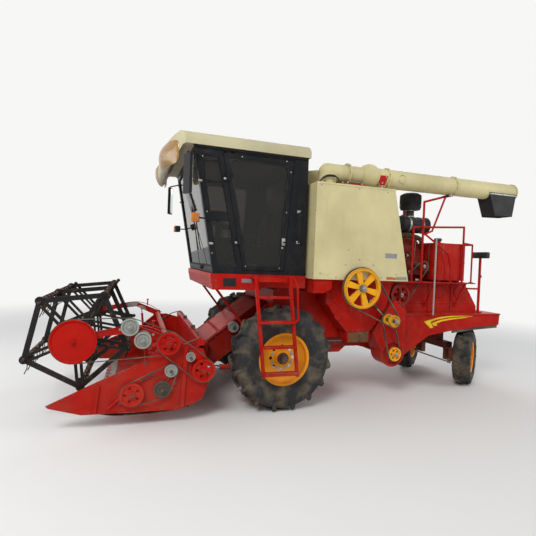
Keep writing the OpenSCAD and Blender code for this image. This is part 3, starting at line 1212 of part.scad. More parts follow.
// Ring on an offset centre that keeps the tines hanging down, on the right
crank_pin_r = 12;
module reel_control() { color("#241d1a") on_frame() {
    c = reel_c + control_off;
    difference() {
        union() {
            across(c, ring_y - 11, ring_y + 11, ring_r + 22);
            for (i = [0:bats - 1]) rotate_at(c, reel_phase + i * bat_step) {
                box([ring_r + 10, ring_y - 6, -18], [reel_r - 20, ring_y + 6, 18]);
                across([reel_r, 0], ring_y - 11, ring_y + 11, crank_pin_r + 14, 24);
            }
        }
        across(c, ring_y - 20, ring_y + 20, ring_r + run);
        for (i = [0:bats - 1]) rotate_at(c, reel_phase + i * bat_step)
            across([reel_r, 0], ring_y - 20, ring_y + 20, crank_pin_r + run);
    }
} }
// Bat: a tube with a row of hooked tines, and a crank whose pin the control ring turns on
module bat(i) { color("#33261f") on_frame() translate([bat_at(i)[0], 0, bat_at(i)[1]]) {
    across([0, 0], -bat_y + 5, bat_y, bat_r);
    n = floor((bat_y - 120) / tine_pitch);
    for (k = [-n:n]) {
        y = (k + (k == 0 ? 0.35 : 0)) * tine_pitch;
        bar([0, y, 0], [4, y, -tine_len * 0.7], 5, 8);
        bar([4, y, -tine_len * 0.7 + 3], [30, y, -tine_len], 5, 8);
    }
    v = control_off;
    slab(-bat_y - 5, -bat_y + 19, concat(arc([0, 0], 24, -30, -210, 8), arc(v, 20, 150, -30, 8)));
    across(v, ring_y - 14, -bat_y, crank_pin_r);
} }
module reel_bat_1() bat(0);
module reel_bat_2() bat(1);
module reel_bat_3() bat(2);
module reel_bat_4() bat(3);
module reel_bat_5() bat(4);

chassis_frame();
chassis_members();
front_axle();
threshing_body();
straw_body();
tail_hood();
grain_tank();
grain_elevator();
platform();
ladder();
cab_frame();
cab_glass();
cab_roof();
cab_interior();
operator_seat();
mirrors();
side_pulleys();
side_belts();
engine_block();
air_cleaner();
fuel_tank();
radiator();
deck_rails();
unload_tube();
unload_spout();
swing_barrel();
swing_rod();
door_frame();
door_glass();
front_rim_left();
front_tyre_left();
front_rim_right();
front_tyre_right();
rear_axle();
knuckle_left();
knuckle_right();
tie_rod();
rear_rim_left();
rear_tyre_left();
rear_rim_right();
rear_tyre_right();
feeder_house();
lift_barrels();
lift_rods();
header_frame();
knife();
header_auger();
header_pulleys();
header_belts();
reel_arms();
reel_belt();
reel_barrels();
reel_rods();
reel_spider();
reel_control();
reel_bat_1();
reel_bat_2();
reel_bat_3();
reel_bat_4();
reel_bat_5();
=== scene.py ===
"""Looks of a self-propelled combine harvester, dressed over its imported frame.

Lengths are millimetres measured as the part's source does: x from the front axle, z from the top of the
frame rails. at() turns them into the frame's metres. Most details are drawn on the left and mirrored.
"""
import math

import bmesh
import bpy
import numpy as np
from mathutils import Matrix, Vector


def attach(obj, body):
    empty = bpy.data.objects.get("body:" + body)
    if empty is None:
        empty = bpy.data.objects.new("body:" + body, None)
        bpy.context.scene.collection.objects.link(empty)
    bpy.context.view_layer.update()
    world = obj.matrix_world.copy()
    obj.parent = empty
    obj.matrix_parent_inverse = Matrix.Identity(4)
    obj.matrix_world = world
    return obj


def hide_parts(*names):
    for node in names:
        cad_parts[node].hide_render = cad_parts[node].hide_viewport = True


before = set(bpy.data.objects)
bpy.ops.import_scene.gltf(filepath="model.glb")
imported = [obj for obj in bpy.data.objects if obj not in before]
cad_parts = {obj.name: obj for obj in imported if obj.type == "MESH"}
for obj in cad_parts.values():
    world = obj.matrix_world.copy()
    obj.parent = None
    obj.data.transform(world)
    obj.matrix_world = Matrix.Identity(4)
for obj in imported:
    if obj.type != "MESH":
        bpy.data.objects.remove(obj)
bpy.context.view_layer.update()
TAU = 2 * math.pi
ORIGIN = np.array([0.45, 0, 0.832])


def at(x, y, z):
    """Points of the part's source, in metres of the frame."""
    return np.stack(np.broadcast_arrays(x, y, z), -1) / 1000 + ORIGIN


# Camera, floor and light

BACKDROP = (0.93, 0.93, 0.92, 1)


def set_camera():
    """The photograph's camera: its place, its three axes and its focal length over 536 pixels."""
    right = (-0.94999612, 0.30967918, 0.04007722)
    down = (-0.03220326, 0.03049871, -0.99901591)
    ahead = (-0.31059673, -0.95035185, -0.01900097)
    camera = bpy.data.objects.new("camera", bpy.data.cameras.new("camera"))
    bpy.context.collection.objects.link(camera)
    place, focal, picture, sensor = (2.2152, 5.7267, 1.8550), 405.085, 536, 36
    axes = Matrix((right, [-v for v in down], [-v for v in ahead])).transposed()
    camera.matrix_world = Matrix.Translation(place) @ axes.to_4x4()
    camera.data.sensor_width = sensor
    camera.data.lens = focal / picture * sensor
    bpy.context.scene.camera = camera


def area_light(name, place, target, size, power):
    """A round lamp at a place, turned towards its target."""
    lamp = bpy.data.lights.new(name, "AREA")
    lamp.shape = "DISK"
    lamp.size = size
    lamp.energy = power
    obj = bpy.data.objects.new(name, lamp)
    bpy.context.collection.objects.link(obj)
    obj.location = place
    obj.rotation_euler = (Vector(target) - Vector(place)).to_track_quat("-Z", "Y").to_euler()


def set_stage():
    """A pale floor with soft lamps, and a backdrop that only the camera and reflections see as white."""
    world = bpy.data.worlds.new("studio")
    bpy.context.scene.world = world
    world.use_nodes = True
    tree = world.node_tree
    ground = tree.nodes["Background"]
    ground.inputs["Color"].default_value = (0.86, 0.9, 0.96, 1)
    ground.inputs["Strength"].default_value = 0.46
    seen = tree.nodes.new("ShaderNodeBackground")
    seen.inputs["Color"].default_value = BACKDROP
    path = tree.nodes.new("ShaderNodeLightPath")
    mix = tree.nodes.new("ShaderNodeMixShader")
    either = path.outputs["Is Camera Ray"]
    for ray in ("Is Glossy Ray", "Is Transmission Ray"):
        join = tree.nodes.new("ShaderNodeMath")
        join.operation = "MAXIMUM"
        tree.links.new(either, join.inputs[0])
        tree.links.new(path.outputs[ray], join.inputs[1])
        either = join.outputs[0]
    tree.links.new(either, mix.inputs[0])
    tree.links.new(ground.outputs[0], mix.inputs[1])
    tree.links.new(seen.outputs[0], mix.inputs[2])
    tree.links.new(mix.outputs[0], tree.nodes["World Output"].inputs["Surface"])
    mesh = bpy.data.meshes.new("floor")
    mesh.from_pydata([(-60, -60, 0), (60, -60, 0), (60, 60, 0), (-60, 60, 0)], [], [[0, 1, 2, 3]])
    floor = bpy.data.objects.new("floor", mesh)
    bpy.context.collection.objects.link(floor)
    stuff = Finish("pale_floor")
    stuff.set("Base Color", stuff.mix(stuff.noise(0.6, 3), (0.78, 0.77, 0.74), (0.82, 0.81, 0.79)))
    stuff.set("Roughness", 0.9)
    # Far from the machine the camera sees the floor in the backdrop's colour, so there is no horizon
    far = stuff.node("VectorMath", operation="LENGTH")
    stuff.put(far.inputs[0], stuff.place)
    fade = stuff.math("MULTIPLY", stuff.steps(far.outputs["Value"], 5.5, 13.0),
                      stuff.node("LightPath").outputs["Is Camera Ray"])
    plain = stuff.node("Emission")
    plain.inputs["Color"].default_value = BACKDROP
    blend = stuff.node("MixShader")
    stuff.put(blend.inputs[0], fade)
    stuff.put(blend.inputs[1], stuff.shader.outputs[0])
    stuff.put(blend.inputs[2], plain.outputs[0])
    stuff.put(stuff.tree.nodes["Material Output"].inputs["Surface"], blend.outputs[0])
    mesh.materials.append(stuff.material)
    area_light("key", (5.5, 7.5, 8.0), (0, 0, 1.2), 4.0, 640)
    area_light("fill", (-8.0, 6.0, 5.0), (-1, 0, 1.2), 5.0, 230)
    area_light("back", (-3.0, -8.0, 7.0), (0, 0, 1.5), 5.0, 270)
    area_light("nose", (9.0, -1.0, 3.5), (2, 0, 0.8), 4.0, 190)


# Finishes

class Finish:
    """A node material on Object coordinates, with short names for the nodes that it uses."""

    def __init__(self, name):
        self.material = bpy.data.materials.new(name)
        self.material.use_nodes = True
        self.tree = self.material.node_tree
        self.shader = self.tree.nodes["Principled BSDF"]
        self.place = self.node("TexCoord").outputs["Object"]

    def node(self, kind, **props):
        """A new shader node with its properties set."""
        made = self.tree.nodes.new("ShaderNode" + kind)
        for key, value in props.items():
            setattr(made, key, value)
        return made

    def put(self, socket, value):
        """Links an output to a socket, or writes a number or a colour there."""
        if isinstance(value, bpy.types.NodeSocket):
            self.tree.links.new(value, socket)
        elif isinstance(value, tuple) and len(value) == 3 and socket.type == "RGBA":
            socket.default_value = (*value, 1)
        else:
            socket.default_value = value

    def set(self, name, value):
        self.put(self.shader.inputs[name], value)

    def scaled(self, size):
        """Object coordinates times a factor along each axis."""
        node = self.node("VectorMath", operation="MULTIPLY")
        self.put(node.inputs[0], self.place)
        node.inputs[1].default_value = size
        return node.outputs[0]

    def noise(self, scale, detail=4.0, size=None):
        """Cloudy noise, the finer the larger its scale, drawn out where size is under one."""
        node = self.node("TexNoise")
        self.put(node.inputs["Vector"], self.scaled(size) if size else self.place)
        node.inputs["Scale"].default_value = scale
        node.inputs["Detail"].default_value = detail
        node.inputs["Roughness"].default_value = 0.55
        return node.outputs["Fac"]

    def cells(self, scale):
        """Distance to the middle of the nearest cell."""
        node = self.node("TexVoronoi")
        self.put(node.inputs["Vector"], self.place)
        node.inputs["Scale"].default_value = scale
        return node.outputs["Distance"]

    def steps(self, value, low, high, out_low=0.0, out_high=1.0):
        """A value read on a smooth rise from low to high."""
        node = self.node("MapRange", interpolation_type="SMOOTHSTEP")
        self.put(node.inputs["Value"], value)
        for socket, number in zip(("From Min", "From Max", "To Min", "To Max"),
                                  (low, high, out_low, out_high)):
            node.inputs[socket].default_value = number
        return node.outputs["Result"]

    def math(self, operation, a, b):
        node = self.node("Math", operation=operation, use_clamp=operation in ("ADD", "SUBTRACT"))
        self.put(node.inputs[0], a)
        self.put(node.inputs[1], b)
        return node.outputs[0]

    def mix(self, amount, a, b):
        """A blend of two colours: a at nought and b at one."""
        node = self.node("Mix", data_type="RGBA")
        self.put(node.inputs[0], amount)
        self.put(node.inputs[6], a)
        self.put(node.inputs[7], b)
        return node.outputs[2]

    def bump(self, *layers):
        """Heights laid over each other, each with its depth in metres."""
        before = None
        for height, depth in layers:
            node = self.node("Bump")
            node.inputs["Strength"].default_value = 1.0
            node.inputs["Distance"].default_value = depth
            self.put(node.inputs["Height"], height)
            if before:
                self.put(node.inputs["Normal"], before)
            before = node.outputs["Normal"]
        self.set("Normal", before)

    def axis(self, letter):
        """The surface's own X, Y or Z in metres."""
        node = self.node("SeparateXYZ")
        self.put(node.inputs[0], self.place)
        return node.outputs[letter]

    def up(self):
        """How much a face looks up."""
        node = self.node("SeparateXYZ")
        self.put(node.inputs[0], self.node("NewGeometry").outputs["Normal"])
        return node.outputs["Z"]

    def near(self, x, z, r):
        """One inside a round zone across the machine, else nought."""
        flat = self.node("VectorMath", operation="MULTIPLY")
        self.put(flat.inputs[0], self.place)
        flat.inputs[1].default_value = (1, 0, 1)
        away = self.node("VectorMath", operation="DISTANCE")
        self.put(away.inputs[0], flat.outputs[0])
        centre = at(x, 0, z)
        away.inputs[1].default_value = (centre[0], 0, centre[2])
        return self.math("LESS_THAN", away.outputs["Value"], r / 1000)


DUST = (0.44, 0.34, 0.21)


def dusty(stuff, dust, low=0.9, grain=7.0):
    """Harvest dust: cloudy, thick on what looks up and on what is near the ground."""
    cloud = stuff.steps(stuff.noise(grain, 8), 0.42, 0.72)
    top = stuff.steps(stuff.up(), 0.25, 0.95, 0.14, 1.0)
    foot = stuff.steps(stuff.axis("Z"), 0.1, low, 1.0, 0.0)
    patch = stuff.steps(stuff.noise(1.9, 5), 0.3, 0.75)
    settled = stuff.math("MULTIPLY", stuff.math("MULTIPLY", cloud, top), dust)
    splashed = stuff.math("MULTIPLY", stuff.math("MULTIPLY", foot, patch), dust * 0.8)
    return stuff.math("ADD", settled, splashed)


def paint(name, colour, gloss=0.34, dust=0.45, worn=0.35, zones=(), beyond=None):
    """Sprayed sheet metal: slight fading, dust, streaks, small chips and a faint waviness.
    zones is a list of (x, z, radius, colour) for pulleys and hubs of another colour, and beyond is a
    distance to the left past which the whole node has the colour that follows it."""
    stuff = Finish(name)
    shade = tuple(c * 0.72 for c in colour)
    base = stuff.mix(stuff.steps(stuff.noise(1.3, 5), 0.3, 0.8), colour, shade)
    for x, z, r, other in zones:
        base = stuff.mix(stuff.near(x, z, r), base, other)
    if beyond:
        base = stuff.mix(stuff.steps(stuff.axis("Y"), beyond[0], beyond[0] + 0.001), base, beyond[1])
    streaks = stuff.steps(stuff.noise(9.0, 6, size=(1, 1, 0.12)), 0.52, 0.8, 0.0, 0.4)
    base = stuff.mix(streaks, base, tuple(c * 0.55 + 0.03 for c in colour))
    chips = stuff.math("MULTIPLY", stuff.steps(stuff.noise(46.0, 3), 0.665, 0.7), worn)
    base = stuff.mix(chips, base, (0.09, 0.05, 0.035))
    film = dusty(stuff, dust)
    stuff.set("Base Color", stuff.mix(film, base, DUST))
    rough = stuff.steps(film, 0.0, 0.55, gloss, 0.82)
    stuff.set("Roughness", stuff.math("ADD", rough, stuff.steps(stuff.noise(24.0, 4), 0.3, 0.8, 0.0, 0.09)))
    stuff.set("Specular IOR Level", 0.1)
    stuff.bump((stuff.noise(2.4, 2), 0.006), (stuff.noise(260.0, 2), 0.00015))
    return stuff.material


def metal(name, colour, rough=0.35, scale=90.0, rust=0.0, spangle=False, dust=0.2):
    """Bare metal with fine lines or zinc spangle, and rust where asked."""
    stuff = Finish(name)
    tone = stuff.cells(scale) if spangle else stuff.noise(scale, 4, size=(1, 1, 0.15))
    base = stuff.mix(stuff.steps(tone, 0.2, 0.8), colour, tuple(c * 0.7 for c in colour))
    if rust:
        brown = stuff.math("MULTIPLY", stuff.steps(stuff.noise(14.0, 8), 0.48, 0.66), rust)
        base = stuff.mix(brown, base, (0.16, 0.07, 0.035))
        stuff.set("Metallic", stuff.steps(brown, 0.0, 0.6, 0.9, 0.1))
    else:
        stuff.set("Metallic", 0.9)
    film = dusty(stuff, dust)
    stuff.set("Base Color", stuff.mix(film, base, DUST))
    stuff.set("Roughness", stuff.steps(stuff.noise(30.0, 5), 0.2, 0.9, rough, min(rough + 0.25, 1)))
    stuff.bump((tone, 0.0002))
    return stuff.material


def rubber(name, colour=(0.022, 0.022, 0.023), dust=0.55):
    """Rubber: dull, finely grained, with dust lying in patches."""
    stuff = Finish(name)
    base = stuff.mix(stuff.noise(6.0, 5), colour, tuple(c * 1.7 + 0.004 for c in colour))
    film = stuff.math("MULTIPLY", stuff.steps(stuff.noise(5.0, 9), 0.4, 0.75), dust)
    stuff.set("Base Color", stuff.mix(film, base, tuple(c * 0.62 for c in DUST)))
    stuff.set("Roughness", stuff.steps(film, 0.0, 0.5, 0.62, 0.92))
    stuff.set("Specular IOR Level", 0.12)
    stuff.bump((stuff.noise(160.0, 3), 0.0003), (stuff.noise(22.0, 3), 0.0008))
    return stuff.material


def plastic(name, colour, rough=0.5, dust=0.25):
    """Moulded plastic with a leathery grain."""
    stuff = Finish(name)
    film = dusty(stuff, dust)
    base = stuff.mix(stuff.noise(3.0, 4), colour, tuple(c * 1.35 + 0.003 for c in colour))
    stuff.set("Base Color", stuff.mix(film, base, DUST))
    stuff.set("Roughness", stuff.steps(stuff.noise(60.0, 3), 0.3, 0.8, rough, rough + 0.15))
    stuff.set("Specular IOR Level", 0.15)
    stuff.bump((stuff.cells(420.0), 0.0002))
    return stuff.material


def glass(name, colour, clear):
    """Tinted pane with a light, cloudy film of dust."""
    stuff = Finish(name)
    film = stuff.math("MULTIPLY", stuff.steps(stuff.noise(3.0, 7), 0.4, 0.8), 0.12)
    stuff.set("Base Color", stuff.mix(film, colour, (0.4, 0.36, 0.3)))
    stuff.set("Transmission Weight", clear)
    stuff.set("Roughness", stuff.steps(film, 0.0, 0.2, 0.02, 0.2))
    stuff.set("IOR", 1.3)
    stuff.set("Specular IOR Level", 0.6)
    return stuff.material


def lens(name, colour, clear=0.35):
    """Lamp glass with moulded ribs."""
    stuff = Finish(name)
    ribs = stuff.node("TexWave", wave_type="BANDS", bands_direction="Y")
    stuff.put(ribs.inputs["Vector"], stuff.place)
    ribs.inputs["Scale"].default_value = 40.0
    line = ribs.outputs["Fac"]
    stuff.set("Base Color", stuff.mix(line, colour, tuple(c * 0.7 for c in colour)))
    stuff.set("Roughness", 0.12)
    stuff.set("Transmission Weight", clear)
    stuff.set("Coat Weight", 0.2)
    stuff.bump((line, 0.0006))
    return stuff.material


def cover(name, colour):
    """Seat cover: fine leather grain with soft creases."""
    stuff = Finish(name)
    stuff.set("Base Color", stuff.mix(stuff.noise(8.0, 5), colour, tuple(c * 1.6 for c in colour)))
    stuff.set("Roughness", stuff.steps(stuff.noise(40.0, 4), 0.3, 0.8, 0.42, 0.62))
    stuff.set("Sheen Weight", 0.15)
    stuff.bump((stuff.cells(520.0), 0.0003), (stuff.noise(30.0, 4), 0.0012))
    return stuff.material


RED, YELLOW, CREAM = (0.43, 0.007, 0.003), (0.95, 0.36, 0.012), (0.66, 0.58, 0.31)
ZINC, STEEL = (0.3, 0.31, 0.28), (0.46, 0.45, 0.42)
look = {
    "red": paint("signal_red", RED, 0.3, 0.3, 0.25),
    "header_red": paint("header_red", (0.42, 0.007, 0.003), 0.34, 0.16, 0.5),
    "header_drive": paint("header_drive_red", (0.46, 0.007, 0.003), 0.35, 0.16, 0.5, zones=(
        (1364, -214, 70, ZINC), (1158, -72, 52, ZINC), (1452, -412, 90, (0.05, 0.05, 0.045)))),
    "arm_red": paint("arm_red", RED, 0.32, 0.3, 0.4, zones=((1800, 265, 94, ZINC), (1668, 122, 90, ZINC))),
    "rail_red": paint("rail_red", RED, 0.34, 0.3, 0.3, beyond=(0.8505, (0.34, 0.33, 0.3))),
    "engine_red": paint("engine_red", (0.2, 0.012, 0.008), 0.42, 0.5, 0.8, zones=(
        (-2280, 1025, 50, (0.05, 0.04, 0.035)),)),
    "dark_red": paint("frame_red", (0.15, 0.012, 0.008), 0.5, 0.6, 0.6),
    "feeder_red": paint("feeder_red", (0.24, 0.006, 0.003), 0.62, 0.14, 0.6, zones=((500, 118, 73, ZINC),)),
    "screw": metal("painted_screw", (0.16, 0.1, 0.085), 0.5, 120.0, dust=0.3),
    "roof": paint("roof_cream", (0.53, 0.48, 0.3), 0.4, 0.2, 0.12),
    "cream": paint("cream_paint", CREAM, 0.36, 0.16, 0.12),
    "black": paint("black_paint", (0.012, 0.013, 0.015), 0.3, 0.12, 0.2),
    "yellow": paint("wheel_yellow", YELLOW, 0.36, 0.26, 0.4),
    "drive_yellow": paint("drive_yellow", (0.88, 0.4, 0.015), 0.36, 0.25, 0.3, zones=(
        (-970, 715, 48, (0.16, 0.13, 0.1)), (-1480, 290, 30, (0.1, 0.09, 0.08)),
        (-1612, -182, 24, (0.3, 0.28, 0.25)), (-1900, 600, 152, (0.3, 0.02, 0.014)))),
    "reel": metal("reel_iron", (0.022, 0.018, 0.016), 0.5, 40.0, rust=0.7, dust=0.14),
    "steel": metal("bare_steel", STEEL, 0.38, rust=0.4),
    "zinc": metal("zinc_plate", (0.4, 0.41, 0.38), 0.42, 160.0, spangle=True),
    "chrome": metal("rod_chrome", (0.68, 0.68, 0.7), 0.1, 200.0, dust=0.05),
    "iron": metal("dark_iron", (0.09, 0.08, 0.075), 0.55, 60.0, rust=0.6, dust=0.5),
    "tyre": rubber("tyre_rubber"),
    "belt": rubber("belt_rubber", (0.05, 0.045, 0.036), 0.5),
    "seal": rubber("seal_rubber", (0.012, 0.012, 0.013), 0.12),
    "hose": rubber("hose_rubber", (0.016, 0.016, 0.017), 0.25),
    "plastic": plastic("black_plastic", (0.018, 0.018, 0.02)),
    "cabin": plastic("cabin_grey", (0.05, 0.052, 0.056), 0.6, 0.1),
    "glass": glass("tinted_glass", (0.17, 0.165, 0.155), 0.94),
    "mirror": metal("mirror_face", (0.82, 0.85, 0.88), 0.03, 20.0, dust=0.04),
    "lens_white": lens("lens_white", (0.85, 0.85, 0.82)),
    "lens_amber": lens("lens_amber", (0.9, 0.25, 0.02)),
    "lens_red": lens("lens_red", (0.6, 0.02, 0.02)),
    "stripe": paint("stripe_yellow", (0.82, 0.6, 0.03), 0.34, 0.2, 0.2),
    "seat": cover("seat_cover", (0.03, 0.03, 0.033)),
    "lens_brown": lens("lens_brown", (0.62, 0.34, 0.06), 0.55),
    "plate_grey": metal("plate_grey", (0.3, 0.3, 0.32), 0.5, 120.0, dust=0.15),
    "sump": paint("sump_brown", (0.16, 0.075, 0.035), 0.6, 0.5, 0.8),
    "rust": metal("rusty_steel", (0.13, 0.07, 0.045), 0.75, 30.0, rust=0.9, dust=0.35),
    "reel_rust": metal("reel_rust", (0.07, 0.04, 0.028), 0.7, 40.0, rust=0.9, dust=0.3),
    "piping": cover("seat_piping", (0.07, 0.07, 0.072)),
}
NODE_LOOK = {
    "red": "threshing_body straw_body tail_hood grain_elevator platform ladder fuel_tank swing_barrel"
           " lift_barrels reel_barrels", "feeder_red": "feeder_house", "rail_red": "deck_rails",
    "header_red": "header_frame header_auger", "header_drive": "header_pulleys", "arm_red": "reel_arms",
    "engine_red": "engine_block", "dark_red": "chassis_frame chassis_members front_axle rear_axle radiator"
    " knuckle_left knuckle_right", "cream": "grain_tank unload_tube", "roof": "cab_roof",
    "black": "cab_frame door_frame mirrors", "drive_yellow": "side_pulleys", "steel": "knife tie_rod",
    "yellow": "front_rim_left front_rim_right rear_rim_left rear_rim_right", "reel_and_disc": "reel_spider",
    "reel": "reel_control reel_bat_1 reel_bat_2 reel_bat_3 reel_bat_4 reel_bat_5",
    "chrome": "swing_rod lift_rods reel_rods", "belt": "side_belts header_belts reel_belt",
    "tyre": "front_tyre_left front_tyre_right rear_tyre_left rear_tyre_right",
    "plastic": "unload_spout air_cleaner", "cabin": "cab_interior", "glass": "cab_glass door_glass",
    "seat": "operator_seat",
}


def reel_finish():
    """Dark worn reel with its dished pulley in red: the colour changes past the left end sheet."""
    stuff = Finish("reel_and_disc")
    red_side = stuff.steps(stuff.axis("Y"), 1.238, 1.24)
    dark = stuff.mix(stuff.steps(stuff.noise(14.0, 8), 0.54, 0.72), (0.018, 0.017, 0.017), (0.1, 0.05, 0.03))
    bright = stuff.mix(stuff.noise(1.3, 5), tuple(c * 1.15 for c in RED), tuple(c * 0.8 for c in RED))
    film = dusty(stuff, 0.06)
    stuff.set("Base Color", stuff.mix(film, stuff.mix(red_side, dark, bright), DUST))
    stuff.set("Roughness", stuff.steps(red_side, 0.0, 1.0, 0.56, 0.34))
    stuff.set("Specular IOR Level", 0.1)
    stuff.bump((stuff.noise(30.0, 4), 0.0006))
    return stuff.material


def dress_nodes():
    """Gives every slot of a CAD node the finish that NODE_LOOK names for it."""
    look["reel_and_disc"] = reel_finish()
    for key, names in NODE_LOOK.items():
        for name in names.split():
            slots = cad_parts[name].data.materials
            for i in range(len(slots)):
                slots[i] = look[key]


# Surfaces

AHEAD, BACK, SIDE, RIGHT, UP, DOWN = (1, 0, 0), (-1, 0, 0), (0, 1, 0), (0, -1, 0), (0, 0, 1), (0, 0, -1)


def grid(rows, columns, round_rows=False, round_columns=False):
    """Quads of a sheet of rows x columns points, closed on itself where asked."""
    r = np.arange(rows if round_rows else rows - 1)[:, None]
    c = np.arange(columns if round_columns else columns - 1)[None, :]
    r1, c1 = (r + 1) % rows, (c + 1) % columns
    quads = np.stack([r * columns + c, r * columns + c1, r1 * columns + c1, r1 * columns + c], -1)
    return quads.reshape(-1, 4).tolist()


def tube(rows, sides):
    """Faces of rows of rings, with the first and the last ring closed."""
    ends = [list(range(start, start + sides)) for start in (0, (rows - 1) * sides)]
    return grid(rows, sides, False, True) + ends


def basis(normal):
    """Two directions square to a normal, and the normal."""
    n = np.asarray(normal, float)
    n = n / np.linalg.norm(n)
    side = np.cross(UP if abs(n[2]) < 0.9 else AHEAD, n)
    side /= np.linalg.norm(side)
    return np.array([side, np.cross(n, side), n])


def circle(r, sides=10):
    """Corners of (side, up) at even angles on a circle."""
    turn = np.arange(sides) * TAU / sides
    return np.stack([np.cos(turn), np.sin(turn)], -1) * r


def strip(half_width, half_height):
    """Corners of (side, up) of a rectangle about its middle."""
    return [(-half_width, -half_height), (half_width, -half_height), (half_width, half_height),
            (-half_width, half_height)]


def smooth_line(points, between=6):
    """A path through the points on Catmull and Rom's cubic: each stretch blends four neighbours."""
    p = np.asarray(points, float)
    p = np.vstack([2 * p[0] - p[1], p, 2 * p[-1] - p[-2]])
    t = (np.arange(between) / between)[None, :, None]
    a, b, c, d = (p[i:len(p) - 3 + i, None, :] for i in range(4))
    way = 0.5 * (2 * b + (c - a) * t + (2 * a - 5 * b + 4 * c - d) * t**2 + (3 * b - a - 3 * c + d) * t**3)
    return np.vstack([way.reshape(-1, 3), p[-2:-1]])


def rounded(corners, r, steps=5):
    """A closed outline whose corners are rounded by parabolas that start r before each corner."""
    c = np.asarray(corners, float)
    to_last, to_next = np.roll(c, 1, 0) - c, np.roll(c, -1, 0) - c
    a = c + to_last / np.linalg.norm(to_last, axis=1)[:, None] * r
    b = c + to_next / np.linalg.norm(to_next, axis=1)[:, None] * r
    t = np.linspace(0, 1, steps)[None, :, None]
    way = (1 - t) ** 2 * a[:, None] + 2 * t * (1 - t) * c[:, None] + t ** 2 * b[:, None]
    return way.reshape(-1, 2)


def row(a, b, n):
    """Evenly spaced points in metres between two places of the source."""
    t = np.linspace(0, 1, n)[:, None]
    return at(*a) * (1 - t) + at(*b) * t


def on_side(points, y):
    """Points of (x, z) on a plane across the machine, in metres."""
    p = np.asarray(points, float)
    return at(p[:, 0], y, p[:, 1])


def around(place, axis, r, n, start=0.0):
    """Points on a circle, in metres."""
    turn = start + np.arange(n) * TAU / n
    local = np.stack([np.cos(turn), np.sin(turn), np.zeros(n)], -1) * r / 1000
    return local @ basis(axis) + at(*place)


